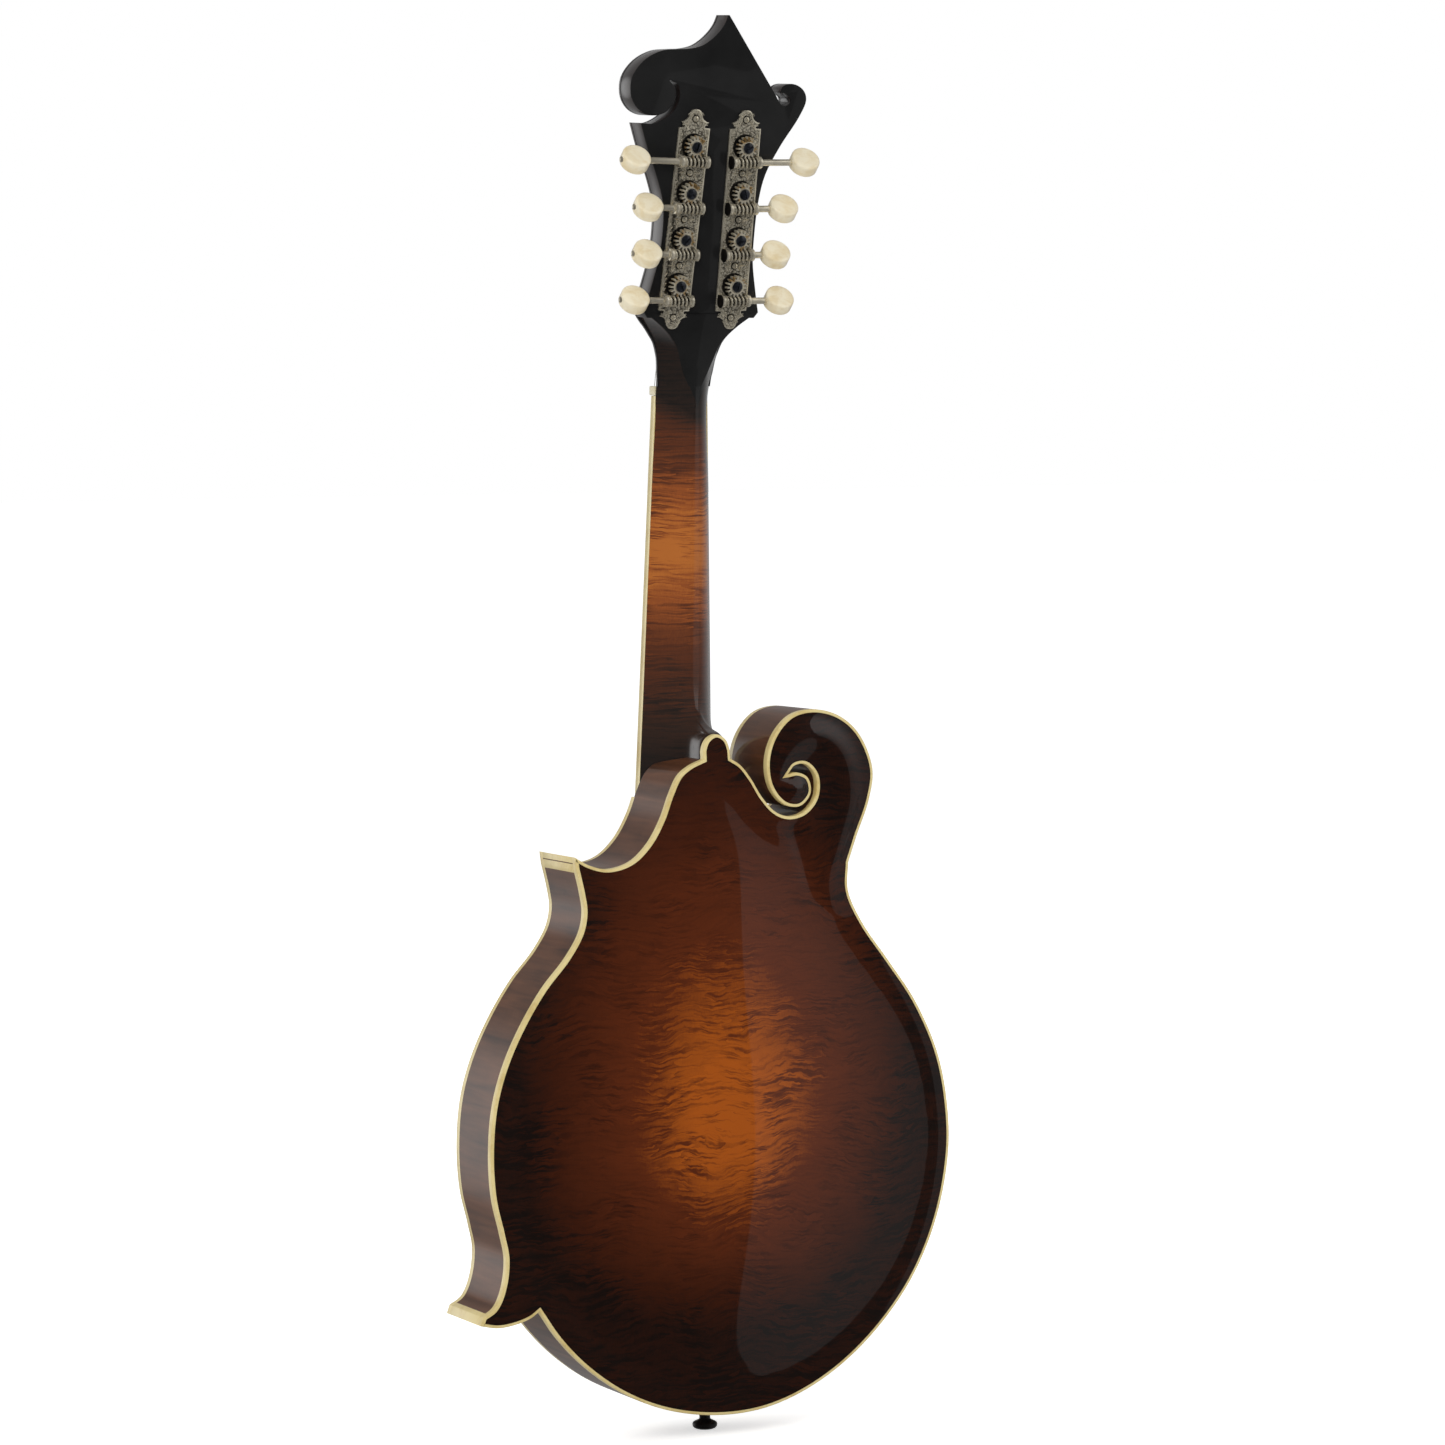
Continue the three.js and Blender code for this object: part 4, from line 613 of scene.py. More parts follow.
def finish_piece(name, mesh, body, nodes, sharp=38, thickness=0, bevel=0):
    """Makes an object from a mesh, thickened or with rounded edges, and hides the nodes that it stands for."""
    work = bmesh.new()
    work.from_mesh(mesh)
    if not thickness:
        bmesh.ops.recalc_face_normals(work, faces=work.faces)
    work.to_mesh(mesh)
    work.free()
    piece = bpy.data.objects.new(name, mesh)
    bpy.context.scene.collection.objects.link(piece)
    if thickness:
        solid = piece.modifiers.new("Thickness", "SOLIDIFY")
        solid.thickness = thickness * MM
        solid.offset = -1
        solid.use_even_offset = True
    if bevel:
        rounded = piece.modifiers.new("Rounded edges", "BEVEL")
        rounded.width = bevel * MM
        rounded.segments = 3
        rounded.limit_method = "ANGLE"
        rounded.angle_limit = math.radians(35)
    if thickness or bevel:
        graph = bpy.context.evaluated_depsgraph_get()
        plain, mesh = mesh, bpy.data.meshes.new_from_object(piece.evaluated_get(graph))
        piece.modifiers.clear()
        piece.data = mesh
        mesh.name = name
        bpy.data.meshes.remove(plain)
    mesh.polygons.foreach_set("use_smooth", [True] * len(mesh.polygons))
    mesh.set_sharp_from_angle(angle=math.radians(sharp))
    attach(piece, body)
    if nodes:
        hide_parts(*nodes)
    return piece


def rounded_copy(name, node, finish, bevel):
    """A node's own form with its flat faces joined and its edges rounded."""
    source = frame["nodes"][node]
    mesh = source.data.copy()
    mesh.name = name
    work = bmesh.new()
    work.from_mesh(mesh)
    bmesh.ops.remove_doubles(work, verts=work.verts, dist=1e-6)
    bmesh.ops.dissolve_limit(work, angle_limit=math.radians(0.5), verts=work.verts, edges=work.edges,
                             delimit={"NORMAL"})
    work.to_mesh(mesh)
    work.free()
    mesh.materials.clear()
    mesh.materials.append(finish_named(finish))
    return finish_piece(name, mesh, source["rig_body"], [node], bevel=bevel)


# ---------------------------------------------------------------- shader maths

class Link:
    """A socket in a shader, so that its maths can be written as an expression."""

    def __init__(self, shader, socket):
        self.shader = shader
        self.socket = socket

    def maths(self, operation, *values):
        return self.shader.node("ShaderNodeMath", {"operation": operation}, dict(enumerate(values)))

    def __add__(self, other):
        return self.maths("ADD", self, other)

    def __sub__(self, other):
        return self.maths("SUBTRACT", self, other)

    def __rsub__(self, other):
        return self.maths("SUBTRACT", other, self)

    def __mul__(self, other):
        return self.maths("MULTIPLY", self, other)

    def __truediv__(self, other):
        return self.maths("DIVIDE", self, other)

    def __rtruediv__(self, other):
        return self.maths("DIVIDE", other, self)

    def __pow__(self, other):
        return self.maths("POWER", self, other)

    def __rpow__(self, other):
        return self.maths("POWER", other, self)

    def __abs__(self):
        return self.maths("ABSOLUTE", self)

    __radd__, __rmul__ = __add__, __mul__

    def clamped(self):
        return self.shader.node("ShaderNodeClamp", {}, {"Value": self})


class Shader:
    """The nodes of one material, world or floor."""

    def __init__(self, tree):
        self.tree = tree
        tree.nodes.clear()

    def node(self, kind, settings=None, values=None, output=0):
        """Adds a node: its settings first, then the values or links of its sockets."""
        made = self.tree.nodes.new(kind)
        for key, value in (settings or {}).items():
            if key == "stops":
                stops = made.color_ramp.elements
                while len(stops) > 1:
                    stops.remove(stops[-1])
                stops[0].position, stops[0].color = value[0][0], (*value[0][1], 1)
                for position, colour in value[1:]:
                    stops.new(position).color = (*colour, 1)
            else:
                setattr(made, key, value)
        for key, value in (values or {}).items():
            socket = made.inputs[key]
            if isinstance(value, Link):
                self.tree.links.new(value.socket, socket)
            elif isinstance(value, tuple) and len(value) == 3 and len(socket.default_value) == 4:
                socket.default_value = (*value, 1)
            else:
                socket.default_value = value
        return Link(self, made.outputs[output]) if made.outputs else None

    def place(self):
        """The place on the object, in metres on the frame's axes."""
        return self.node("ShaderNodeTexCoord", output="Object")

    def axes(self, place):
        split = self.node("ShaderNodeSeparateXYZ", {}, {0: place})
        outputs = split.socket.node.outputs
        return [Link(self, outputs[i]) for i in range(3)]

    def stretched(self, place, x, y, z):
        return self.node("ShaderNodeVectorMath", {"operation": "MULTIPLY"}, {0: place, 1: (x, y, z)})

    def pushed(self, place, push, x, y, z):
        return self.node("ShaderNodeVectorMath", {"operation": "MULTIPLY_ADD"},
                         {0: push, 1: (x, y, z), 2: place})

    def noise(self, place, scale, detail=2.0, roughness=0.5, distortion=0.0, output=0):
        return self.node("ShaderNodeTexNoise", {"noise_dimensions": "3D"},
                         {"Vector": place, "Scale": scale, "Detail": detail, "Roughness": roughness,
                          "Distortion": distortion}, output)

    def ramp(self, value, stops):
        return self.node("ShaderNodeValToRGB", {"stops": stops}, {0: value})

    def between(self, value, low, high, to_low=0.0, to_high=1.0):
        return self.node("ShaderNodeMapRange", {"interpolation_type": "SMOOTHSTEP"},
                         {0: value, 1: low, 2: high, 3: to_low, 4: to_high})

    def mix(self, factor, first, second, blend="MIX"):
        made = self.tree.nodes.new("ShaderNodeMix")
        made.data_type = "RGBA"
        made.blend_type = blend
        for index, value in ((0, factor), (6, first), (7, second)):
            if isinstance(value, Link):
                self.tree.links.new(value.socket, made.inputs[index])
            elif isinstance(value, tuple):
                made.inputs[index].default_value = (*value[:3], 1)
            else:
                made.inputs[index].default_value = value
        return Link(self, made.outputs[2])

    def facing(self, x, y, z):
        """How nearly the world's direction is the given one, as their dot product."""
        around = self.node("ShaderNodeTexCoord", output="Generated")
        return self.node("ShaderNodeVectorMath", {"operation": "DOT_PRODUCT"},
                         {0: around, 1: (x, y, z)}, "Value")


def surface(shader, colour, roughness, bump, metallic=0.0, coat=0.0, coat_roughness=0.03, specular=0.5):
    """The finish's own shader and output, with a bump from a height, a strength and a distance."""
    height, strength, distance = bump
    normal = shader.node("ShaderNodeBump", {}, {"Height": height, "Strength": strength, "Distance": distance})
    made = shader.node("ShaderNodeBsdfPrincipled", {}, {
        "Base Color": colour, "Roughness": roughness, "Metallic": metallic, "Coat Weight": coat,
        "Coat Roughness": coat_roughness, "Specular IOR Level": specular, "Normal": normal})
    shader.node("ShaderNodeOutputMaterial", {}, {"Surface": made})


def lacquer():
    return bpy.context.scene.mandolin_lacquer


def trim():
    return bpy.context.scene.mandolin_trim


def hardware():
    return bpy.context.scene.mandolin_hardware


def times(colour, *factors):
    """A colour multiplied by one factor, or by one for each channel."""
    return tuple(min(c * f, 1) for c, f in zip(colour, factors if len(factors) == 3 else factors * 3))


def figured_maple(shader, across, along, wander):
    """The wavy figure of maple: 0 in a dark wave and 1 in a bright one, and its fine silk."""
    place = shader.place()
    broad_push = shader.noise(place, 22.0, 1.0, 0.5, output=1)
    fine_push = shader.noise(place, 120.0, 2.0, 0.6, output=1)
    pushed = shader.pushed(place, broad_push, 0.012 * wander, 0.012 * wander, 0.022 * wander)
    pushed = shader.pushed(pushed, fine_push, 0.002, 0.002, 0.0045 * wander)
    broad = shader.noise(shader.stretched(pushed, across * 0.5, across * 0.5, along * 0.3), 1.0, 2.0, 0.5)
    waves = shader.noise(shader.stretched(pushed, across, across, along * 0.7), 1.0, 2.0, 0.55, 0.1)
    fold = waves.maths("FRACT", waves * 7.0)
    threads = shader.noise(shader.stretched(pushed, across * 2.4, across * 2.4, along * 3.2),
                           1.0, 3.0, 0.65, 0.2)
    patches = shader.between(shader.noise(place, 34.0, 2.0, 0.6), 0.38, 0.62)
    silk = shader.noise(shader.stretched(place, 1300, 1300, 520), 1.0, 3.0, 0.7)
    dark = 1 - (1 - shader.between(threads, 0.38, 0.52)) * (0.35 + patches * 0.65)
    folded = 0.5 + (fold ** 0.7 - 0.55) * (0.3 + patches * 0.7)
    return folded * 0.34 + dark * 0.40 + broad * 0.26, silk


def maple_colour(shader, depth, across, along, stain, strength=1.0, wander=1.0):
    """Figured maple's colour and silk, with the stain's colours by how far out the burst is."""
    figure, silk = figured_maple(shader, across, along, wander)
    waves = (0.5 - figure) * (0.66 * lacquer().figure * strength)
    level = depth + waves * (1.25 - depth * 0.65) + (0.5 - silk) * 0.14
    return shader.ramp(level, list(zip((0.0, 0.13, 0.36, 0.76, 1.06), stain))), silk


def glossy_maple(shader, colour, silk):
    surface(shader, colour, 0.4, (silk, 0.04, 0.0002), coat=1.0, coat_roughness=0.025, specular=0.15)


def back_maple(shader):
    """Figured maple under a burst that reaches further up than down."""
    x, _, z = shader.axes(shader.place())
    reach = lacquer().burst_reach
    drift = shader.noise(shader.place(), 16.0, 2.0) * 0.2 - 0.1
    high = z - lacquer().burst_height
    up, down = high.maths("MAXIMUM", high, 0.0) / (reach * 1.7), high.maths("MINIMUM", high, 0.0) / reach
    out = ((x / reach) ** 2.0 + (up + down) ** 2.0) ** 0.5
    stain = [times(lacquer().amber, 1.25), lacquer().amber, lacquer().russet, times(lacquer().russet, 0.42),
             lacquer().edge]
    glossy_maple(shader, *maple_colour(shader, (out + drift).clamped(), 24.0, 200.0, stain))


def neck_maple(shader):
    """Maple stained lightest in the neck's middle, with the black tip of the headstock's back over it."""
    x, _, z = shader.axes(shader.place())
    out = abs(z - 0.430) / 0.085
    head = shader.between(z, 0.484, 0.512) * (1.1 - abs(x + 0.003) / 0.016)
    head = head + shader.between(z, 0.498, 0.514) * 0.6
    stain = [srgb(*colour) for colour in NECK_STAIN]
    colour, silk = maple_colour(shader, (0.08 + out * 0.72 + head).clamped(), 13.0, 260.0, stain, 1.15, 0.3)
    half = shader.between(z, 0.497, 0.514, 0.0, 0.0056)
    tip = shader.between(half - abs(x + 0.0015), 0.0, 0.0003)
    glossy_maple(shader, shader.mix(tip, colour, times(lacquer().black, 1)), silk)


def side_maple(shader):
    """Ribs: brown, with a faint figure across them."""
    place = shader.place()
    warp = shader.noise(place, 30.0, 2.0)
    bands = shader.noise(shader.stretched(place, 210, 16, 210), 1.0, 2.0, 0.55, 0.3)
    silk = shader.noise(shader.stretched(place, 420, 1500, 420), 1.0, 2.0, 0.6)
    level = 0.5 + (bands - 0.5) * 0.9 + (warp - 0.5) * 0.5 + (silk - 0.5) * 0.16
    rib = lacquer().rib
    colour = shader.ramp(level.clamped(), [(0.2, times(rib, 0.45)), (0.5, rib), (0.85, times(rib, 1.7))])
    surface(shader, colour, 0.4, (silk, 0.05, 0.0002), coat=0.5, coat_roughness=0.04, specular=0.15)


def top_spruce(shader):
    """Straight-grained spruce under a sunburst."""
    place = shader.place()
    x, _, z = shader.axes(place)
    drift = shader.noise(place, 14.0, 2.0) * 0.2 - 0.1
    out = ((x / 0.118) ** 2.0 + ((z - 0.150) / 0.135) ** 2.0) ** 0.5 + drift
    grain = shader.noise(shader.stretched(place, 900, 40, 7), 1.0, 2.0, 0.5, 0.15)
    silk = shader.noise(shader.stretched(place, 120, 120, 260), 1.0, 2.0, 0.55)
    level = out * 0.8 + (0.5 - grain) * 0.34 + (0.5 - silk) * 0.10
    colour = shader.ramp(level, [(0.0, srgb(222, 146, 60)), (0.3, lacquer().amber), (0.58, lacquer().russet),
                                 (0.9, lacquer().edge)])
    surface(shader, colour, 0.4, (grain, 0.06, 0.0003), coat=1.0, specular=0.15)


def one_noise(shader, noise, stops, roughness, bump, stretch=(1, 1, 1), spread=0.0, **finish):
    """A finish whose colour, roughness and bump follow the same noise."""
    tone = shader.noise(shader.stretched(shader.place(), *stretch), *noise)
    surface(shader, shader.ramp(tone, stops), roughness + tone * spread, (tone, *bump), **finish)


def ebony(shader):
    dark = trim().ebony
    one_noise(shader, (1.0, 3.0, 0.6, 0.2), [(0.3, times(dark, 0.55)), (0.6, dark), (0.8, times(dark, 2.1))],
              0.34, (0.16, 0.0002), (1400, 600, 60), 0.2)


def black_lacquer(shader):
    black = lacquer().black
    one_noise(shader, (45.0, 3.0), [(0.3, times(black, 0.8)), (0.7, times(black, 1.25))], 0.35, (0.02, 0.0005),
              coat=0.4, coat_roughness=0.02, specular=0.1)


def aged(shader, cloud, lines, share, colour, yellowed, stops, roughness, bump, **finish):
    """Cream or ivory that yellows in clouds and along fine lines."""
    deep = times(colour, *yellowed)
    colour = shader.ramp(cloud + (lines - 0.5) * share, [(0.25, deep), (stops[0], colour), (stops[1], colour)])
    surface(shader, colour, roughness, (lines, bump, 0.0001), **finish)


def binding(shader):
    """Aged cream binding with faint flow lines and a little amber from the lacquer."""
    flow = shader.noise(shader.place(), 60.0, 3.0, 0.6, 0.4)
    specks = shader.noise(shader.place(), 900.0, 2.0, 0.6)
    aged(shader, flow, specks, 0.25, trim().binding, (0.80, 0.72, 0.55), (0.55, 0.8), 0.38, 0.04,
         coat=0.6, coat_roughness=0.06)


def ivory_button(shader):
    """Warm ivory with faint clouds and cut lines."""
    cloud = shader.noise(shader.place(), 140.0, 3.0, 0.55, 0.6)
    lines = shader.noise(shader.stretched(shader.place(), 300, 300, 1500), 1.0, 2.0, 0.5, 0.5)
    aged(shader, cloud, lines, 0.2, trim().ivory, (0.86, 0.78, 0.62), (0.6, 0.85), 0.28, 0.03,
         coat=0.4, coat_roughness=0.08)


def engraved_nickel(shader):
    """Aged nickel with scrolled leaves cut into it and dark patina in the cuts."""
    place = shader.place()
    pushed = shader.pushed(place, shader.noise(place, 300.0, 1.0, 0.5, output=1), 0.0036, 0.0036, 0.0036)
    cells = shader.node("ShaderNodeTexVoronoi", {"feature": "DISTANCE_TO_EDGE"},
                        {"Vector": pushed, "Scale": 560.0})
    veins = shader.node("ShaderNodeTexWave", {"wave_type": "RINGS", "rings_direction": "SPHERICAL"},
                        {"Vector": pushed, "Scale": 420.0, "Distortion": 5.0, "Detail": 1.0,
                         "Detail Scale": 1.4},
                        output=1)
    height = shader.between(cells, 0.02, 0.16) * 0.7 + veins * 0.3
    worn = shader.noise(place, 120.0, 3.0, 0.6)
    nickel = hardware().nickel
    colour = shader.ramp(height * 0.75 + (worn - 0.5) * 0.5 + 0.12,
                         [(0.18, hardware().patina), (0.5, times(nickel, 0.44)), (0.9, nickel)])
    surface(shader, colour, 0.5 - height * 0.2, (height, 0.7, 0.00012), metallic=0.45)


def gear_metal(shader):
    """Nickel that has worn to brass in places."""
    place = shader.place()
    brass = hardware().brass
    worn = shader.noise(place, 210.0, 2.0, 0.6)
    colour = shader.ramp(worn, [(0.30, times(brass, 0.5)), (0.40, brass),
                                (0.48, times(hardware().nickel, 1.4))])
    fine = shader.noise(place, 1600.0, 2.0, 0.6)
    surface(shader, colour, 0.24 + worn * 0.15, (fine, 0.08, 0.0001), metallic=0.75)


def plain_metal(shader, bright, dull, roughness, scale=160.0, metallic=0.6):
    """Worn metal with fine scratches."""
    place = shader.place()
    worn = shader.noise(place, scale, 3.0, 0.6)
    scratches = shader.noise(shader.stretched(place, 300, 300, 2400), 1.0, 2.0, 0.5)
    colour = shader.ramp(worn + (scratches - 0.5) * 0.2, [(0.3, dull), (0.62, bright)])
    surface(shader, colour, roughness - 0.06 + scratches * 0.12, (scratches, 0.05, 0.0001), metallic)


def rim_nickel(shader):
    nickel = hardware().nickel
    plain_metal(shader, times(nickel, 1.4), times(nickel, 0.9), 0.24, metallic=0.72)


def patina_metal(shader):
    """Dark, dull metal in the roots of threads and teeth."""
    patina = hardware().patina
    plain_metal(shader, patina, times(patina, 0.35), 0.5, 500.0)


def wound_string(shader):
    turns = shader.node("ShaderNodeTexWave", {"wave_type": "BANDS", "bands_direction": "Z"},
                        {"Vector": shader.place(), "Scale": 1500.0}, output=1)
    colour = shader.ramp(turns, [(0.1, srgb(96, 66, 34)), (0.6, srgb(206, 160, 96))])
    surface(shader, colour, 0.3, (turns, 0.5, 0.0001), metallic=0.95)


FINISHES = {
    "Back maple": back_maple, "Neck maple": neck_maple, "Side maple": side_maple, "Top spruce": top_spruce,
    "Cream binding": binding, "Ivory button": ivory_button, "Ebony": ebony, "Black lacquer": black_lacquer,
    "Engraved nickel": engraved_nickel, "Gear metal": gear_metal, "Rim nickel": rim_nickel,
    "Patina": patina_metal, "Wound string": wound_string,
    "Polished nickel": partial(
        plain_metal, bright=srgb(214, 208, 196), dull=srgb(168, 160, 146), roughness=0.24, scale=60.0),
    "Fret wire": partial(
        plain_metal, bright=srgb(214, 210, 202), dull=srgb(166, 160, 150), roughness=0.30, scale=400.0),
    "Plain string": partial(
        plain_metal, bright=srgb(214, 214, 212), dull=srgb(160, 160, 158), roughness=0.26, scale=700.0),
    "Rod steel": partial(
        plain_metal, bright=srgb(150, 148, 144), dull=srgb(92, 90, 86), roughness=0.45, scale=200.0),
    "Inner wood": partial(
        one_noise, noise=(1.0, 3.0, 0.6, 0.3), stops=[(0.3, srgb(158, 118, 76)), (0.7, srgb(206, 170, 122))],
        roughness=0.75, bump=(0.2, 0.0004), stretch=(500, 90, 20)),
    "Edge lacquer": partial(
        one_noise, noise=(60.0, 3.0), stops=[(0.3, srgb(34, 28, 27)), (0.7, srgb(56, 44, 41))],
        roughness=0.4, bump=(0.02, 0.0005), coat=1.0, coat_roughness=0.05, specular=0.15),
    "Blued steel": partial(
        one_noise, noise=(420.0, 2.0, 0.6), stops=[(0.3, srgb(26, 27, 30)), (0.7, srgb(66, 70, 80))],
        roughness=0.2, bump=(0.06, 0.0001), spread=0.1, metallic=0.7, coat=0.6),
    # Dark, dull metal for the rings round the plates' screws, and painted shade under the gears and on the
    # bearings' inner ends
    "Dark metal and painted shade": partial(
        one_noise, noise=(500.0, 2.0, 0.6), stops=[(0.3, srgb(18, 17, 16)), (0.75, srgb(46, 42, 36))],
        roughness=0.42, bump=(0.1, 0.0001), spread=0.15, metallic=0.5),
    "Bone": partial(
        one_noise, noise=(260.0, 3.0, 0.55), stops=[(0.3, srgb(214, 200, 158)), (0.7, srgb(240, 232, 204))],
        roughness=0.35, bump=(0.03, 0.0001), coat=0.3, coat_roughness=0.1),
    "Pearl": partial(
        one_noise, noise=(420.0, 3.0, 0.6, 1.2), roughness=0.2, bump=(0.05, 0.0001), metallic=0.1, coat=0.8,
        stops=[(0.25, srgb(188, 200, 206)), (0.5, srgb(238, 236, 226)), (0.75, srgb(212, 196, 206))]),
}


def finish_named(name):
    """The material of that name, made when it is first asked for."""
    made = bpy.data.materials.get(name)
    if made is None:
        made = bpy.data.materials.new(name)
        made.use_nodes = True
        FINISHES[name](Shader(made.node_tree))
    return made


# ---------------------------------------------------------------- carved plates

def inside(places, loop):
    """Which places lie inside a closed loop."""
    a = np.array([tuple(p) for p in loop])
    b = np.roll(a, -1, 0)
    x, y = places[:, :1], places[:, 1:]
    crosses = (a[:, 1] > y) != (b[:, 1] > y)
    with np.errstate(divide="ignore", invalid="ignore"):
        at = a[:, 0] + (y - a[:, 1]) * (b[:, 0] - a[:, 0]) / (b[:, 1] - a[:, 1])
    return (crosses & (x < at)).sum(1) % 2 == 1


def distance_to(places, line, closed=True):
    """How far each place lies from a line."""
    a = np.array([tuple(p) for p in line])
    b = np.roll(a, -1, 0)
    if not closed:
        a, b = a[:-1], b[:-1]
    span = b - a
    size = (span ** 2).sum(1) + 1e-12
    nearest = np.empty(len(places))
    for start in range(0, len(places), 2000):
        chunk = places[start:start + 2000, None, :]
        t = np.clip(((chunk - a) * span).sum(2) / size, 0, 1)
        nearest[start:start + 2000] = np.sqrt((((a + t[..., None] * span) - chunk) ** 2).sum(2).min(1))
    return nearest


def beside(field):
    """The sum of each inner cell's four neighbours."""
    return field[:-2, 1:-1] + field[2:, 1:-1] + field[1:-1, :-2] + field[1:-1, 2:]


def arch_field():
    """A smooth dome over the body, 1 at its crown and 0 outside its edge, on a grid of cells."""
    x = np.arange(-135, 136, ARCH_CELL)
    z = np.arange(-5, 351, ARCH_CELL)
    cells = np.array([(a, b) for b in z for a in x])
    across, up = cells[:, 0], cells[:, 1]
    domed = inside(cells, TOP_LINE) & (distance_to(cells, TOP_LINE) > ARCH_MARGIN)
    domed &= ~((across < SCROLL_FROM[0]) & (up > SCROLL_FROM[1]))
    domed &= ~((across > UPPER_POINT_FROM[0]) & (up > UPPER_POINT_FROM[1]))
    domed = domed.reshape(len(z), len(x))[1:-1, 1:-1]
    field = np.zeros((len(z), len(x)))
    inner = field[1:-1, 1:-1]
    for _ in range(ARCH_PASSES):
        inner[:] = np.where(domed, (beside(field) + 1) / 4, 0)
    field /= field.max()
    for _ in range(3):
        inner[:] = (inner * 4 + beside(field)) / 8
    share = np.sqrt(np.clip(1 - field, 0, 1))
    return x, z, ((1 + np.cos(math.pi * share)) / 2) ** 0.72


def sampled(x, z, field, places):
    """The field at each place, along smooth curves between its cells."""
    across = (places[:, 0] - x[0]) / ARCH_CELL
    up = (places[:, 1] - z[0]) / ARCH_CELL

    def weights(t):
        return ((-t + 2 * t ** 2 - t ** 3) / 2, (2 - 5 * t ** 2 + 3 * t ** 3) / 2,
                (t + 4 * t ** 2 - 3 * t ** 3) / 2, (t ** 3 - t ** 2) / 2)
    i = np.clip(np.floor(across).astype(int), 1, len(x) - 3)
    j = np.clip(np.floor(up).astype(int), 1, len(z) - 3)
    total = np.zeros(len(places))
    for b, high in enumerate(weights(up - j)):
        for a, wide in enumerate(weights(across - i)):
            total += high * wide * field[j - 1 + b, i - 1 + a]
    return total


def carved_height(places, boundary, height, with_scroll):
    """How far a carved plate rises over its flat edge at each place."""
    rise = sampled(*arch_field(), places) * height
    edge = distance_to(places, boundary)
    raised = -np.exp(-((edge - HOLLOW_AT) / HOLLOW_HALF) ** 2) * HOLLOW_DEPTH

    def share(values):
        return np.clip(values, 0, 1)

    def eased(values):
        return share(values) ** 2 * (3 - 2 * share(values))

    def near(line, half):
        line = smooth(line, 8, keep_last=True)
        return np.exp(-(distance_to(places, line, closed=False) / half) ** 2)
    if with_scroll:
        up = places[:, 1]
        raised += CREST_RISE * near(scaled(SCROLL_CREST), CREST_HALF) * eased((up - CREST_FROM) / CREST_RUN)
        raised -= VALLEY_DEPTH * near(VALLEY, VALLEY_HALF) * share((up - VALLEY_FROM) / VALLEY_RUN)
    return np.maximum(rise, 0) + raised * eased((edge - 0.4) / 5.0)


def carved_plate(boundary, holes, height, seat, direction, spacing=2.6):
    """The outer face of a carved plate, as a fine net of triangles."""
    width = np.arange(-132, 134, spacing)
    rows = np.arange(-2, 352, spacing * 0.866)
    net = np.array([(x + (i % 2) * spacing / 2, z) for i, z in enumerate(rows) for x in width])
    kept = inside(net, boundary) & (distance_to(net, boundary) > spacing * 0.45)
    for loop in holes:
        kept &= ~inside(net, loop)
    net = net[kept]
    for loop in holes:
        net = net[distance_to(net, loop) > spacing * 0.4]
    flat = [Vector(p) for p in boundary]
    edges = [(i, (i + 1) % len(flat)) for i in range(len(flat))]
    for loop in holes:
        base = len(flat)
        flat += [Vector(p) for p in loop]
        edges += [(base + i, base + (i + 1) % len(loop)) for i in range(len(loop))]
    flat += [Vector(p) for p in net]
    places, _, faces, *_ = delaunay_2d_cdt(flat, edges, [], 0, 1e-6)
    places = np.array([tuple(p) for p in places])
    faces = np.array([f for f in faces if len(f) == 3])
    middles = places[faces].mean(1)
    kept = inside(middles, boundary)
    for loop in holes:
        kept &= ~inside(middles, loop)
    rise = carved_height(places, boundary, height, direction > 0)
    points = [Vector((x, seat + direction * h, z)) for (x, z), h in zip(places, rise)]
    faces = [tuple(int(i) for i in face) for face in faces[kept]]
    a, b, c = (places[i] for i in faces[0])
    turns_left = (b[0] - a[0]) * (c[1] - a[1]) - (b[1] - a[1]) * (c[0] - a[0]) > 0
    if turns_left == (direction > 0):
        faces = [face[::-1] for face in faces]
    used = sorted({i for face in faces for i in face})
    renumbered = {old: new for new, old in enumerate(used)}
    return [points[i] for i in used], [tuple(renumbered[i] for i in face) for face in faces]


def sound_hole(side):
    def at(x, z):
        return Vector((side * (HOLE_ACROSS + x * HOLE_WIDTH), HOLE_UP + z * HOLE_LENGTH))
    edge = smooth([at(x, z) for x, z in HOLE_STEM], 4, keep_last=True)
    other = smooth([at(-x, -z) for x, z in HOLE_STEM], 4, keep_last=True)
    return [edge + other] + [circle(at(*middle), radius, 28) for middle, radius in HOLE_EYES]


def make_plate(side, line, holes, arch, finish):
    """Carves one plate: side is the label, in the names, of the back or the top."""
    boundary = without_loops(inset(line, BINDING_WIDTH + 0.12))
    direction = 1 if side == "back" else -1
    shape = Shape().add(carved_plate(boundary, holes, arch, direction * HALF_DEPTH, direction))
    make_piece(f"carved_{side}", shape, [finish], "instrument", [f"{side}_plate"],
               sharp=60, thickness=PLATE_WOOD)


class MANDOLIN_OT_back(bpy.types.Operator):
    """Carve the back plate"""
    bl_idname = "mandolin.back"
    bl_label = "Carved back"

    def execute(self, context):
        make_plate("back", BACK_LINE, [], BACK_ARCH, "Back maple")
        return {"FINISHED"}


class MANDOLIN_OT_top(bpy.types.Operator):
    """Carve the top plate and cut its sound holes"""
    bl_idname = "mandolin.top"
    bl_label = "Carved top"

    def execute(self, context):
        make_plate("top", TOP_LINE, sound_hole(1) + sound_hole(-1), TOP_ARCH, "Top spruce")
        return {"FINISHED"}


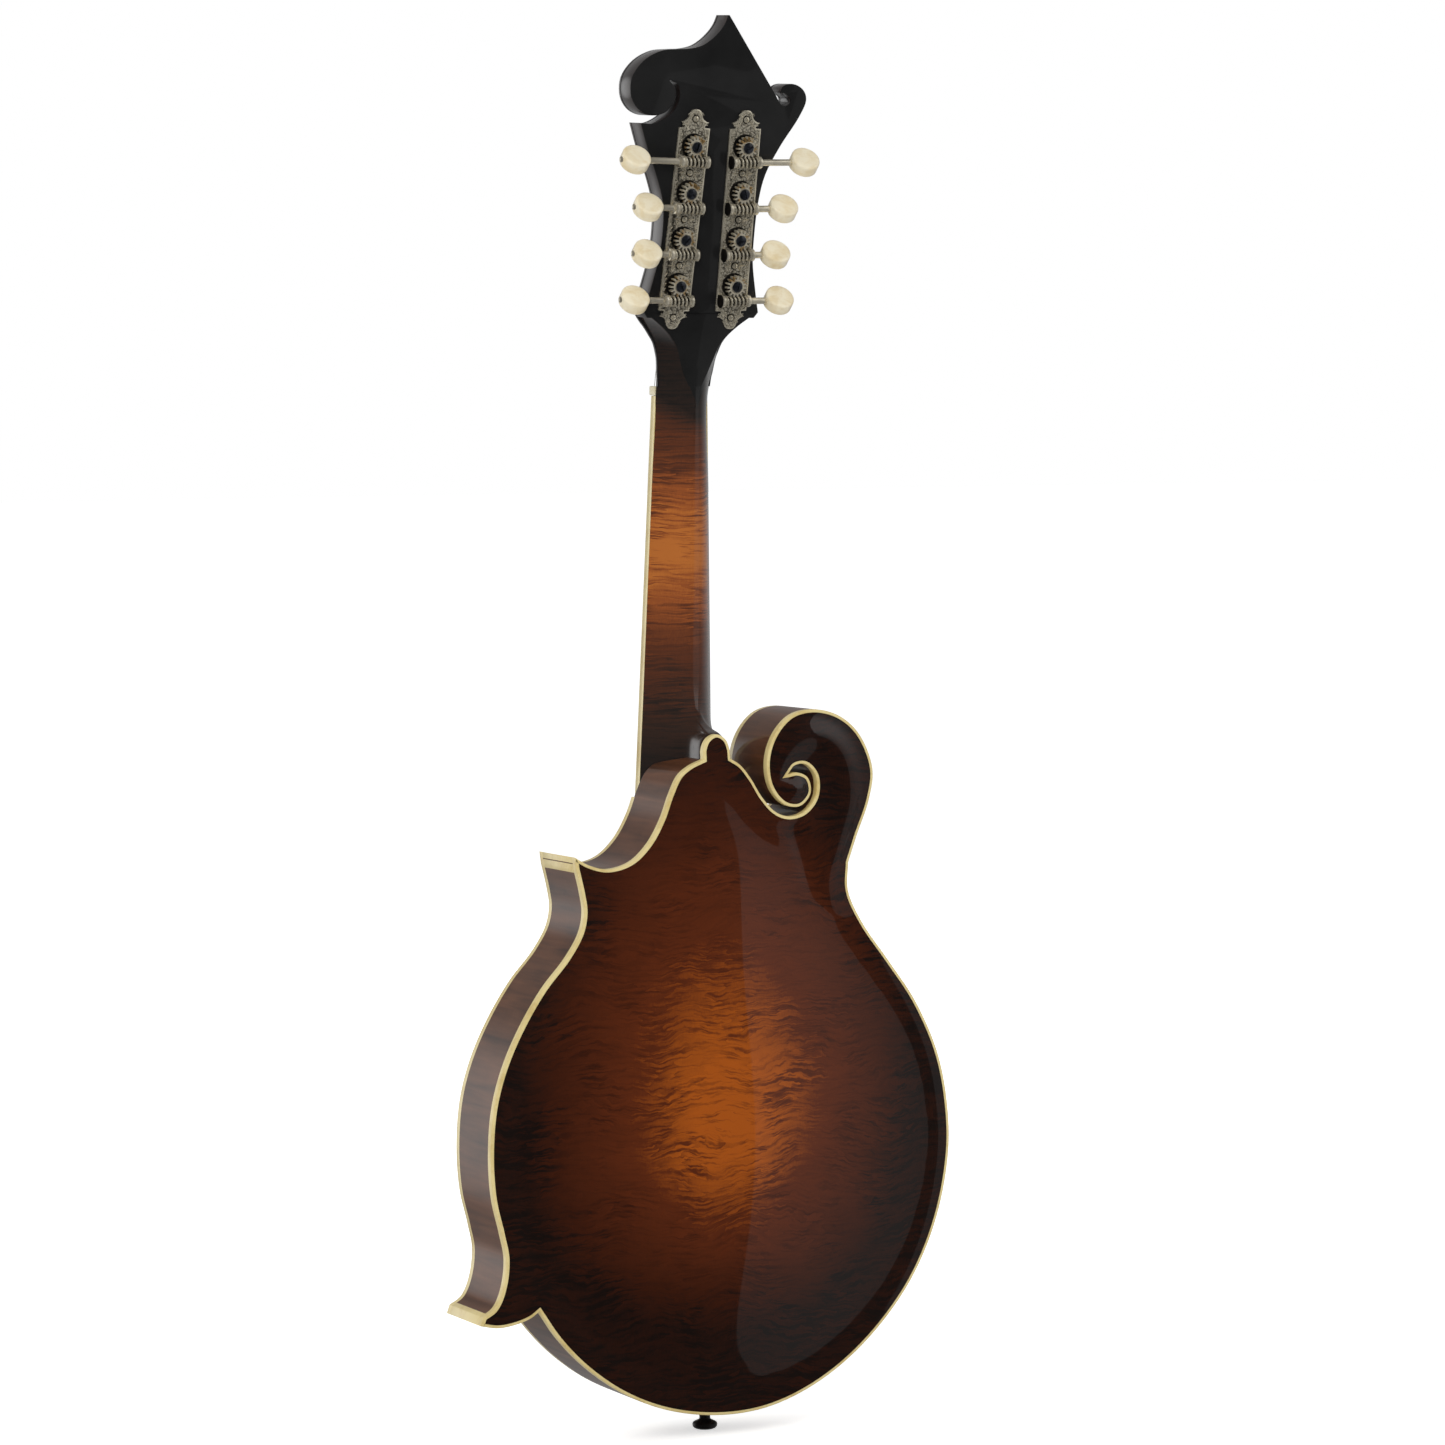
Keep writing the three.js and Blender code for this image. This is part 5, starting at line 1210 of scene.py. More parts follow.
class MANDOLIN_OT_ribs(bpy.types.Operator):
    """Bend the ribs round the outline, between the caps of the points"""
    bl_idname = "mandolin.ribs"
    bl_label = "Ribs"

    def execute(self, context):
        shape = Shape()
        depth = INNER_DEPTH - 0.02
        wall = [(0, -depth), (0, depth), (RIM_WALL, depth), (RIM_WALL, -depth)]
        for line in (TREBLE_LINE, BASS_LINE + OVER_NECK):
            shape.add(sweep(trimmed(line, POINT_CAP + 0.1), wall, closed=False))
        make_piece("ribs", shape, ["Side maple"], "instrument", ["rim"])
        return {"FINISHED"}


def trimmed(line, distance):
    """A line with a distance taken off each end."""
    def shortened(points):
        left = distance
        for i in range(len(points) - 1):
            step = (points[i + 1] - points[i]).length
            if step > left:
                return [points[i].lerp(points[i + 1], left / step), *points[i + 1:]]
            left -= step
        return points
    return list(reversed(shortened(list(reversed(shortened(line))))))


class MANDOLIN_OT_bindings(bpy.types.Operator):
    """Bend the bindings round the back and the top, and cap the points"""
    bl_idname = "mandolin.bindings"
    bl_label = "Bindings and point caps"

    def execute(self, context):
        radius = trim().rounding / MM

        def profile(side):
            outer = [(i, side * (HALF_DEPTH - d)) for i, d in reversed(rounding(radius))]
            return [(0, side * INNER_DEPTH), *outer, (BINDING_WIDTH, side * HALF_DEPTH),
                    (BINDING_WIDTH, side * INNER_DEPTH)]
        back = Shape().add(sweep(BACK_LINE, profile(1)))
        make_piece("back_binding_strip", back, ["Cream binding"], "instrument", ["back_binding"])
        left, right, above = NECK_CUT[0] * BODY_WIDTH, NECK_CUT[1] * BODY_WIDTH, NECK_CUT[2] * BODY_LENGTH
        open_line = TREBLE_LINE + BASS_LINE
        end = next(i for i, p in enumerate(open_line) if p.y > above and p.x > left)
        shoulder = [p for p in SHOULDER_LINE if p.x >= right or p.y <= above]
        top = Shape().add(sweep(shoulder + open_line[:end], profile(-1), closed=False))
        make_piece("top_binding_strip", top, ["Cream binding"], "instrument", ["top_binding"])
        for name in ("upper_point_cap", "lower_point_cap"):
            rounded_copy(f"{name}_facet", name, "Cream binding", 0.12)
        return {"FINISHED"}


# ---------------------------------------------------------------- neck and headstock

def board_face(height):
    return BOARD_FACE_AT_NUT + (height - NUT_HEIGHT) * BOARD_RISE


def neck_depth(height):
    return board_face(height) + UNDER_BOARD + 15.5 + (NUT_HEIGHT - height) * 0.0145


def foot_half(shares, up):
    places = [(z * HEAD_LENGTH, x * HEAD_WIDTH) for x, z in shares]
    return float(np.interp(up, [p[0] for p in places], [p[1] for p in places]))


def neck_sections():
    """Sections of the neck from the heel's foot to the headstock, each from edge to edge."""
    rings = []

    def add(height, back, back_half):
        front = board_face(height) + UNDER_BOARD
        plain = neck_depth(height)
        heel = min(max((back - plain) / (BUTTON_SEAT - plain), 0), 1)
        half = BOARD_HALF_AT_NUT + (NUT_HEIGHT - height) * BOARD_TAPER
        section = [(half, front)]
        for (deep, wide), (heel_deep, heel_wide) in zip(NECK_BACK, HEEL_BACK):
            width = max(half * (wide + (heel_wide - wide) * heel), back_half)
            section.append((width, front + (back - front) * (deep + (heel_deep - deep) * heel)))
        section.append((max(back_half * 0.9, half * 0.05), back))
        line = [(-x, y) for x, y in section] + section[::-1]
        rings.append([Vector((x, y, height)) for x, y in line])

    seat = HEEL_BUTTON[0][1] * BODY_LENGTH
    for height in (HEEL_FOOT, seat - 14, seat):
        add(height, BUTTON_SEAT, HEEL_HALF)
    for rise, width in HEEL_BUTTON_SHARES:
        add(seat + (HEEL_TOP - seat) * rise, BUTTON_SEAT, HEEL_HALF * width)
    for along, rise, width in HEEL_SWEEP_SHARES:
        height = HEEL_TOP + HEEL_SWEEP * along
        add(height, neck_depth(height) + (BUTTON_SEAT - neck_depth(height)) * rise, HEEL_HALF * width)
    for share in (0.33, 0.66, 1):
        height = HEEL_TOP + HEEL_SWEEP + (NUT_HEIGHT - GLUE_GAP - HEEL_TOP - HEEL_SWEEP) * share
        add(height, neck_depth(height), 0)
    deep = HEAD_CORE + 0.7
    for share in HEAD_FOOT_SHARES:
        up = FACE_FOOT + (HEAD_FOOT - FACE_FOOT + 2) * share
        front = foot_half(HEAD_SIDE, up - WALL_SLANT * HEAD_CORE) + 0.4
        back = min(foot_half(HEAD_BACK, up), front)
        section = [(front + (back - front) * s, -deep * (1 - s)) for s in (0, 0.12, 0.35, 0.6, 0.82, 0.96)]
        section.append((back * 0.96, 0))
        line = [(-x, n) for x, n in section] + section[::-1]
        rings.append([HEAD_FRAME @ Vector((x, n, up + WALL_SLANT * n)) for x, n in line])
    return rings


def finer(rings, around, along):
    """Sections with more points round each of them and more of them along the neck."""
    rings = [smooth(ring, around, keep_last=True) for ring in rings]
    lines = [smooth(line, along, keep_last=True) for line in zip(*rings)]
    return [list(ring) for ring in zip(*lines)]


class MANDOLIN_OT_neck(bpy.types.Operator):
    """Shape the neck with its heel, and blacken the foot of the headstock's back"""
    bl_idname = "mandolin.neck"
    bl_label = "Neck"

    def execute(self, context):
        around, along = 4, 6
        black = 1
        sections = neck_sections()
        rings = finer(sections, around, along)
        shape = Shape().add(loft(rings))
        count = len(rings[0])
        black_from = (len(sections) - len(HEAD_FOOT_SHARES) - 1) * along + 2
        flat_back = range(5 * around + 1, 8 * around - 1)
        for i in range(black_from * count, (len(rings) - 1) * count):
            if i % count in flat_back:
                shape.finishes[i] = black
        make_piece("neck_shaft", shape, ["Neck maple", "Black lacquer"], "instrument", ["neck"],
                   sharp=50)
        return {"FINISHED"}


def head_line(low):
    """The headstock's outline from a height up."""
    side = [p for p in smooth(scaled(HEAD_SIDE, HEAD_WIDTH, HEAD_LENGTH), 4) if p.y > low + 0.2]
    side = [Vector((foot_half(HEAD_SIDE, low), low)), *side]
    line = [Vector((-p.x, p.y)) for p in side]
    for stretch in HEAD_STRETCHES:
        steps = 1 if len(stretch) == 2 else 5
        line += smooth(scaled(stretch, HEAD_WIDTH, HEAD_LENGTH), steps)
    return line + scaled(HEAD_SIDE[-1:], HEAD_WIDTH, HEAD_LENGTH) + side[::-1]


def with_walls(form):
    """A slab in the headstock's axes whose walls have a finish of their own."""
    edge = 1
    shape = Shape().add(form, HEAD_FRAME)
    count = len(form[0]) // (2 * len(rounding(1)))
    wall = (len(rounding(1)) - 1) * count
    shape.finishes[wall:wall + count] = [edge] * count
    return shape


class MANDOLIN_OT_headstock(bpy.types.Operator):
    """Shape the headstock, its face veneer, the bushings of the posts and the rod cover"""
    bl_idname = "mandolin.headstock"
    bl_label = "Headstock"

    def execute(self, context):
        for name, foot, front, back, edge, node in (
                ("headstock_core", HEAD_FOOT, -HEAD_CORE - 0.1, 0, 0.35, "neck"),
                ("headstock_veneer", VENEER_FOOT, -HEAD_THICKNESS, -HEAD_CORE - 0.1, 0.3, "headstock_face")):
            form = slab(head_line(foot), front, back, edge, WALL_SLANT)
            make_piece(name, with_walls(form), ["Black lacquer", "Edge lacquer"], "instrument", [node])
        bushings = Shape()
        for _, side, row in tuners():
            bushings.add(lathe(BUSHING), bank_place(side, row, out=-HEAD_THICKNESS))
        make_piece("post_bushings", bushings, ["Polished nickel"], "instrument")
        curve = smooth([Vector((x, ROD_COVER_FOOT + z)) for x, z in ROD_COVER], 4, keep_last=True)
        outline = curve + [Vector((-p.x, p.y)) for p in curve[::-1][:-1]]
        black, cream, metal = range(3)
        cover = Shape()
        cover.add(slab(outline, -HEAD_THICKNESS - 1.5, -HEAD_THICKNESS, 0.3), HEAD_FRAME, black)
        cover.add(slab(inset(outline, -0.7), -HEAD_THICKNESS - 0.9, -HEAD_THICKNESS, 0.2), HEAD_FRAME, cream)
        for x, z in ROD_COVER_SCREWS:
            turn = Matrix.Translation((x, -HEAD_THICKNESS - 1.4, z)) @ Matrix.Rotation(math.pi, 4, "Z")
            cover.add(slotted_screw(1.5, 0.7), HEAD_FRAME @ turn, metal)
        make_piece("rod_cover", cover, ["Black lacquer", "Cream binding", "Polished nickel"], "instrument")
        return {"FINISHED"}


def slotted_screw(radius, height, steps=14):
    """A domed screw head about Y with a slot across it, as columns of points side by side."""
    slot_share = 0.17
    slot = radius * slot_share
    side = [radius * math.sin(t) for t in np.linspace(math.asin(slot_share), math.pi / 2, 8)]
    across = [-x for x in reversed(side)] + [-slot * 0.9, slot * 0.9] + side
    columns = []
    for z in across:
        reach = max(radius ** 2 - z * z, (radius * 0.03) ** 2) ** 0.5
        column = [(-reach, 0, z)]
        for step in range(steps + 1):
            x = -reach * math.cos(math.pi * step / steps)
            dome = height * (0.3 + 0.7 * max(1 - (x * x + z * z) / radius ** 2, 0) ** 0.5)
            column.append((x, min(dome, height * 0.5) if abs(z) < slot * 0.95 else dome, z))
        columns.append([*column, (reach, 0, z)])
    return loft(columns, closed=False, caps=False)


# ---------------------------------------------------------------- tuning machines

def plate_outline():
    quarter = scaled(PLATE_END_CORNERS[:-1], PLATE_WIDTH, PLATE_LENGTH)
    quarter += smooth(scaled(PLATE_END_CURVE, PLATE_WIDTH, PLATE_LENGTH), 3, keep_last=True)
    upper = quarter + [Vector((-p.x, p.y)) for p in quarter[::-1][1:]]
    return [Vector((p.x, p.y - 0.9)) for p in upper + [Vector((-p.x, -p.y)) for p in upper]]


def lug(width):
    """A bearing that stands on the plate, rounded over the worm's shaft, about X."""
    radius = WORM_CREST + 0.25
    foot = 0.8 - WORM_HEIGHT
    arc = [(radius * math.sin(t), radius * math.cos(t)) for t in np.linspace(-math.pi / 2, math.pi / 2, 17)]
    outline = [Vector(p) for p in [(-radius, foot), *arc, (radius, foot)]]
    return reaxed(slab(outline, 0, width, 0.28), (1, 2, 0))


def curl(middle, radius, start, hand, turns=1.15):
    """A raised scroll of the engraving that winds in to its middle, on the plate's own axes."""
    path = []
    shares = [step / 14 for step in range(15)]
    for t in shares:
        angle = start + hand * turns * 2 * math.pi * t
        reach = radius * (1 - 0.8 * t)
        path.append((middle[0] + reach * math.cos(angle), PLATE_FIELD + 0.02,
                     middle[1] + reach * math.sin(angle)))
    return tube(path, [0.26 - 0.1 * t for t in shares], 6)


def leaf(base, angle, length, width):
    """A raised leaf of the engraving, with a ridge along its middle."""
    along = Vector((math.cos(angle), 0, math.sin(angle)))
    across = Vector((-along.z, 0, along.x))
    foot = Vector((base[0], PLATE_FIELD, base[1]))
    rim = [(0, 0), (0.25, 0.42), (0.5, 0.5), (0.75, 0.34), (1, 0), (0.75, -0.34), (0.5, -0.5), (0.25, -0.42)]
    points = [foot + along * (a * length) + across * (b * width) for a, b in rim]
    points += [foot + along * (a * length) + Vector((0, 0.3, 0)) for a in (0.22, 0.5, 0.8)]
    faces = [(0, 1, 8), (1, 2, 9, 8), (2, 3, 10, 9), (3, 4, 10), (4, 5, 10), (5, 6, 9, 10), (6, 7, 8, 9),
             (7, 0, 8)]
    return points, faces


def between_gears():
    """The heights between a plate's gears, after those above the first and below the last."""
    ends = [TOP_ROW + ROW_SPACING - SCREW_DROP + 3.6, TOP_ROW - 3 * ROW_SPACING - SCREW_DROP - 3.0]
    return ends + [TOP_ROW - row * ROW_SPACING - SCREW_DROP for row in range(3)]


def engraving(shape, place, finish):
    """Scrolls, leaves and a line of beads over a plate's field."""
    quarter = math.pi / 2
    top, foot, *_ = between_gears()
    for middle in between_gears():
        for side in (1, -1):
            turn = quarter * (1 - side)
            for up in (1, -1):
                wide = 2.6 if middle == (top if up > 0 else foot) else 3.7
                shape.add(curl((side * wide, middle + up * 1.75), 1.5, turn, side * up), place, finish)
                shape.add(leaf((side * 1.9, middle + up * 0.5), turn + side * up * 0.9, 2.6, 0.9),
                          place, finish)
            if middle not in (top, foot):
                shape.add(leaf((side * 1.7, middle), turn, 4.4, 1.1), place, finish)
        for up in (1, -1):
            shape.add(leaf((0, middle + up * 1.8), quarter * up, 2.4, 1.0), place, finish)
    for row in range(4):
        for side in (1, -1):
            for step in range(4):
                at = (side * 6.9, TOP_ROW - row * ROW_SPACING - 3.4 + step * 2.5)
                shape.add(leaf(at, quarter + side * 0.5, 2.2, 0.8), place, finish)
    line = inset(plate_outline(), 1.5)
    left = 0
    for a, b in zip(line, line[1:] + line[:1]):
        span = (b - a).length
        while left < span:
            at = a.lerp(b, left / span)
            shape.add(lathe(BEAD, 6), place @ Matrix.Translation((at.x, 0, at.y)), finish)
            left += BEAD_SPACING
        left -= span


class MANDOLIN_OT_tuner_plates(bpy.types.Operator):
    """Make the engraved tuner plates with their raised rims, bearings and small screws, and the painted shade
    under the gears and on the bearings' inner ends
    """
    bl_idname = "mandolin.tuner_plates"
    bl_label = "Tuner plates"

    def execute(self, context):
        field, raised, dark = range(3)
        rim = hardware().rim / MM
        outline = plate_outline()
        top = PLATE_THICKNESS
        steps = [(0.12, 0.02), (0, 0.12), (0, top - 0.12), (0.14, top), (rim, top), (rim + 0.12, PLATE_FIELD)]
        points, faces = loft([[(p.x, y, p.y) for p in inset(outline, distance)] for distance, y in steps])
        for label, side in SIDES.items():
            bank = bank_frame(side)
            shape = Shape().add((points, faces[:-1]), bank, raised)
            shape.add(([points[i] for i in faces[-1]], [tuple(range(len(outline)))]), bank, field)
            engraving(shape, bank, raised)
            for row in range(4):
                for at in (LUG_AT, -LUG_AT - LUG_WIDTH):
                    shape.add(lug(LUG_WIDTH), bank_place(side, row, at, WORM_HEIGHT, -WORM_DROP), raised)
                    # The inner end face of each bearing is dark: painted shade on the side turned from the
                    # light
                    if at * side < 0:
                        shape.finishes[-2 if side > 0 else -1] = dark
                # A dark cap over each bearing's inner end, more painted shade
                inner_end = bank_place(side, row, -side * (LUG_AT + LUG_WIDTH), WORM_HEIGHT, -WORM_DROP)
                shape.add(along_x(LUG_CAP), inner_end @ Matrix.Scale(-side, 4, (1, 0, 0)), dark)
                # A dark disc under each gear: painted shadow that the gear casts on the plate
                shape.add(lathe(GEAR_SHADE, 36), bank_place(side, row), dark)
            for z in between_gears():
                place = bank @ Matrix.Translation((0, PLATE_FIELD, z)) @ Matrix.Rotation(z, 4, "Y")
                shape.add(slotted_screw(1.5, 1.2), place, raised)
                shape.add(lathe(WASHER, 20), place, dark)
            make_piece(f"{label}_engraved_plate", shape, ["Engraved nickel", "Rim nickel", "Dark metal and painted shade"],
                       "instrument", [f"{label}_tuner_plate"], sharp=42)
        return {"FINISHED"}


def gear_wheel(low, high):
    """A gear whose teeth lean a little, to suit the worm, about Y."""
    tip = GEAR_TEETH * WORM_LEAD / (2 * math.pi) + TOOTH_RISE
    root = WORM_DROP - WORM_RADIUS - 1.0
    lean = math.atan(WORM_LEAD / (2 * math.pi * WORM_RADIUS))
    flank = [(root, 0.52), (root + 0.15, 0.48), (tip - 0.12, 0.34), (tip, 0.24)]
    rings = []
    for share, shrink in ((0, 0.12), (0.08, 0), (0.92, 0), (1, 0.12)):
        height = low + (high - low) * share
        turn = (height - (low + high) / 2) * math.tan(lean) / tip
        ring = []
        for tooth in range(GEAR_TEETH):
            middle = -math.pi / 2 + (tooth + 0.5) * 2 * math.pi / GEAR_TEETH + turn
            for radius, across in [(r, -a) for r, a in flank] + flank[::-1]:
                angle = middle + across / radius
                ring.append(((radius - shrink) * math.cos(angle), height, (radius - shrink) * math.sin(angle)))
        rings.append(ring)
    return loft(rings)


def rooted(form, across, radius):
    """The numbers of a form's four-sided faces that lie nearer than a radius to its axis."""
    points, faces = form
    first, second = across
    return [number for number, face in enumerate(faces) if len(face) == 4
            and sum(math.hypot(points[i][first], points[i][second]) for i in face) / len(face) < radius]


class MANDOLIN_OT_gears(bpy.types.Operator):
    """Make the string posts with their gears and dark screws"""
    bl_idname = "mandolin.gears"
    bl_label = "Gears and posts"

    def execute(self, context):
        metal, steel, polished, hub, patina = range(5)
        low, high = GEAR_LOW, GEAR_HIGH
        foot = -HEAD_THICKNESS - POST_LENGTH
        wheel = gear_wheel(low, high)
        boss = [(r, high + h) for r, h in GEAR_BOSS]
        post = [(0, 1.1), (POST_RADIUS, 1.1), *[(r, foot + h) for r, h in POST_END]]
        for label, side, row in tuners():
            place = bank_place(side, row)
            shape = Shape().add(wheel, place, metal)
            for number in rooted(wheel, (0, 2), 4.5):
                shape.finishes[number] = patina
            shape.add(lathe(boss, 36), place, hub)
            shape.add(lathe([(2.6, PLATE_FIELD), (2.6, low + 0.2)], 24), place, hub)
            turn = Matrix.Rotation(0.9 + row * 1.3 + side * 0.4, 4, "Y")
            seat = place @ Matrix.Translation((0, high + 0.15, 0)) @ turn
            shape.add(slotted_screw(2.68, 1.4, 20), seat, steel)
            shape.add(lathe(post, 32), place, polished)
            make_piece(f"{label}_gear_and_post_{row + 1}", shape,
                       ["Gear metal", "Blued steel", "Polished nickel", "Rim nickel", "Patina"],
                       f"{label}_post_{row + 1}", [f"{label}_post_gear_{row + 1}"], sharp=40)
        return {"FINISHED"}


def worm_thread(half, steps):
    """The threaded part of a worm about X, with one smooth groove winding along it."""
    rows = int(half * 2 / 0.14)
    root = WORM_RADIUS - 0.85
    rings = []
    for row in range(rows + 1):
        x = -half + 2 * half * row / rows
        ring = []
        for step in range(steps):
            turn = 2 * math.pi * step / steps
            phase = (x / WORM_LEAD - step / steps) % 1
            away = abs(phase - 0.5) * 2
            ridge = min(max((away - 0.26) / 0.34, 0), 1)
            radius = root + (WORM_CREST - root) * (1 - ridge * ridge * (3 - 2 * ridge))
            ring.append((x, -radius * math.sin(turn), radius * math.cos(turn)))
        rings.append(ring)
    return loft(rings)


class MANDOLIN_OT_worms(bpy.types.Operator):
    """Cut the worms with their collars and shafts"""
    bl_idname = "mandolin.worms"
    bl_label = "Worms and shafts"

    def execute(self, context):
        metal, patina = range(2)
        end = LUG_AT - 0.1
        outer = LUG_AT + LUG_WIDTH
        thread = worm_thread(end - 0.3, hardware().worm_steps)
        collar = [(0, 0), (WORM_CREST - 0.15, 0), (WORM_CREST, 0.15), (WORM_CREST, 0.45),
                  (WORM_CREST - 0.15, 0.6), (0, 0.6)]
        for label, side, row in tuners():
            place = bank_place(side, row, 0, WORM_HEIGHT, -WORM_DROP)
            shape = Shape().add(thread, place, metal)
            for number in rooted(thread, (1, 2), WORM_RADIUS - 0.2):
                shape.finishes[number] = patina
            for at in (end - 0.6, -end):
                shape.add(along_x([(r, at + x) for r, x in collar]), place, metal)
            button = BUTTON_REACH[row] - BUTTON_RADIUS
            shaft = [(0, -outer), (1.5, -outer), (1.5, outer), (2.05, outer + 0.05), (2.05, outer + 0.4),
                     (1.62, outer + 0.7), (1.62, button - 0.3), (1.5, button + 0.2), (1.5, button + 4),
                     (0, button + 4)]
            shape.add(along_x([(r, side * x) for r, x in shaft]), place, metal)
            make_piece(f"{label}_cut_worm_{row + 1}", shape, ["Rim nickel", "Patina"], f"{label}_key_{row + 1}",
                       [f"{label}_worm_{row + 1}"], sharp=45)
        return {"FINISHED"}


class MANDOLIN_OT_buttons(bpy.types.Operator):
    """Turn the ivory buttons with their small end screws"""
    bl_idname = "mandolin.buttons"
    bl_label = "Buttons"

    def execute(self, context):
        ivory, metal = range(2)
        corner = [(6.0 + 1.28 * math.sin(t), 2.25 + 1.15 * math.cos(t)) for t in np.linspace(0, math.pi / 2, 6)]
        face = [(0, BUTTON_HALF), (3.0, 3.49), (5.0, 3.45), *corner]
        disc = lathe(face + [(r, -h) for r, h in reversed(face)], 56)
        for label, side, row in tuners():
            place = bank_place(side, row, side * BUTTON_REACH[row], WORM_HEIGHT, -WORM_DROP)
            place = place @ Matrix.Rotation(BUTTON_TURN, 4, "X")
            shape = Shape().add(disc, place, ivory)
            shape.add(along_x([(r, side * x) for r, x in BUTTON_TIP], 20), place, metal)
            make_piece(f"{label}_turned_button_{row + 1}", shape, ["Ivory button", "Rim nickel"],
                       f"{label}_key_{row + 1}", [f"{label}_button_{row + 1}"], sharp=45)
        return {"FINISHED"}


# ---------------------------------------------------------------- fingerboard, strings and fittings

def fret_place(number):
    return -SCALE_LENGTH * (1 - 2 ** (-number / 12))


def dot_place(number):
    """The middle between a fret and the one before."""
    return (fret_place(number) + fret_place(number - 1)) / 2


class MANDOLIN_OT_fingerboard(bpy.types.Operator):
    """Make the fingerboard with its frets, dots and binding, and the nut"""
    bl_idname = "mandolin.fingerboard"
    bl_label = "Fingerboard"

    def execute(self, context):
        foot = fret_place(FRET_COUNT) - 6

        def outline(edge):
            low = foot + edge
            return [Vector(p) for p in ((-board_half(low) + edge, low), (board_half(low) - edge, low),
                                        (board_half(0) - edge, 0), (-board_half(0) + edge, 0))]
        thickness = BOARD_THICKNESS
        pearl = dot = 1
        board = Shape().add(slab(outline(BINDING_WIDTH), 0, thickness - 0.1, 0.1), BOARD_FRAME)
        for number in DOT_FRETS:
            for x in ((-5, 5) if number == 12 else (0,)):
                place = Matrix.Translation((x, 0, dot_place(number)))
                board.add(lathe(FACE_DOT, 28), BOARD_FRAME @ place, pearl)
        make_piece("ebony_board", board, ["Ebony", "Pearl"], "instrument", ["fingerboard"])
        frets = Shape()
        arc = [(0.95 * math.cos(t), 0.9 * math.sin(t)) for t in np.linspace(0, math.pi, 9)]
        for number in range(1, FRET_COUNT + 1):
            z = fret_place(number)
            half = board_half(z) - 0.5
            ends = ((half, 0.2), (half - 0.4, 0.8), (half - 0.9, 1))
            rings = [[(x, -h * size, z + w * size) for w, h in arc] + [(x, 0.4, z - 0.5), (x, 0.4, z + 0.5)]
                     for x, size in [(-x, size) for x, size in ends] + list(reversed(ends))]
            frets.add(loft(rings), BOARD_FRAME)
        make_piece("frets", frets, ["Fret wire"], "instrument")
        *line, last = outline(0)
        profile = [(0, thickness), (0, 0.25), (0.25, 0), (BINDING_WIDTH, 0), (BINDING_WIDTH, thickness)]
        edge = Shape().add(sweep([last, *line], profile, closed=False), BOARD_FRAME)
        for number in DOT_FRETS:
            place = Matrix.Translation((-board_half(dot_place(number)), 2.4, dot_place(number)))
            edge.add(along_x(SIDE_DOT, 16), BOARD_FRAME @ place, dot)
        make_piece("board_binding", edge, ["Cream binding", "Ebony"], "instrument", ["fingerboard_binding"],
                   sharp=50)
        rounded_copy("bone_nut", "nut", "Bone", 0.45)
        return {"FINISHED"}


class MANDOLIN_OT_bridge(bpy.types.Operator):
    """Finish the bridge, its saddle and its thumbwheels"""
    bl_idname = "mandolin.bridge"
    bl_label = "Bridge"

    def execute(self, context):
        rounded_copy("bridge_foot", "bridge_base", "Ebony", 0.5)
        rounded_copy("bridge_top", "bridge_saddle", "Ebony", 0.35)
        for side in SIDES:
            rounded_copy(f"{side}_wheel", f"{side}_thumbwheel", "Polished nickel", 0.12)
        return {"FINISHED"}


class MANDOLIN_OT_tailpiece(bpy.types.Operator):
    """Finish the tailpiece with its cover, and turn the end pin"""
    bl_idname = "mandolin.tailpiece"
    bl_label = "Tailpiece and end pin"

    def execute(self, context):
        rounded_copy("tail_hooks", "tailpiece_base", "Polished nickel", 0.2)
        rounded_copy("tail_cover_shell", "tailpiece_cover", "Polished nickel", 0.3)
        profile = PIN_SHANK + [(max(p.x, 0), p.y) for p in smooth(PIN_CURVE, 4, keep_last=True)]
        pin = Shape().add(reaxed(lathe(profile, 40), (0, 2, 1)))
        make_piece("turned_end_pin", pin, ["Ebony"], "instrument", ["end_pin"])
        return {"FINISHED"}


def string_across(index, course, pair):
    return (index // 2 - 1.5) * course + (index % 2 - 0.5) * pair


def string_path(index):
    """The way of a string from its hook over the saddle and the nut to its post, and round that."""
    radius = STRING_RADII[index // 2]
    lift = radius + 0.1
    hook = TAIL_FRAME @ Vector(((index - 3.5) * 3.5, 0, -6 + 1.5 + GLUE_GAP + radius))
    half = 1.75
    saddle_x = -string_across(7 - index, 12, 2.6)
    saddle = [Vector((saddle_x, SADDLE_FACE - lift, BRIDGE_HEIGHT + z)) for z in (-half, half)]
    nut_x = -string_across(7 - index, 7.1, 2)
    edge = [BOARD_FRAME @ Vector((nut_x, -NUT_PROUD - lift, z)) for z in (0, NUT_THICKNESS + 0.5)]
    side = -1 if index < 4 else 1
    row = 3 - (index if index < 4 else 7 - index)
    middle = Vector((0, -HEAD_THICKNESS - 5.5, TOP_ROW - row * ROW_SPACING))
    bank = HEAD_FRAME.inverted() @ bank_frame(side)
    around = []
    reach = POST_RADIUS + lift
    steps = int(WINDINGS * 16)
    for i in range(steps + 1):
        turn = 2 * math.pi * WINDINGS * i / steps
        angle = math.pi + turn if side > 0 else -turn
        wide = bank @ Vector((reach * math.cos(angle), 0, middle.z + reach * math.sin(angle)))
        around.append(HEAD_FRAME @ Vector((wide.x, middle.y + i / steps * WINDINGS * radius * 2.1, wide.z)))
    return [hook, *saddle, *edge, *around]


class MANDOLIN_OT_strings(bpy.types.Operator):
    """Stretch the four pairs of strings and wind them on their posts"""
    bl_idname = "mandolin.strings"
    bl_label = "Strings"

    def execute(self, context):
        for index, node in enumerate(STRING_NAMES):
            shape = Shape().add(tube(string_path(index), STRING_RADII[index // 2], 10))
            finish, slot = ("Wound string", "bronze_string") if index < 4 else ("Plain string", "steel_string")
            make_piece(f"{node}_wound_on", shape, [finish], "instrument", [node], sharp=60)
        return {"FINISHED"}


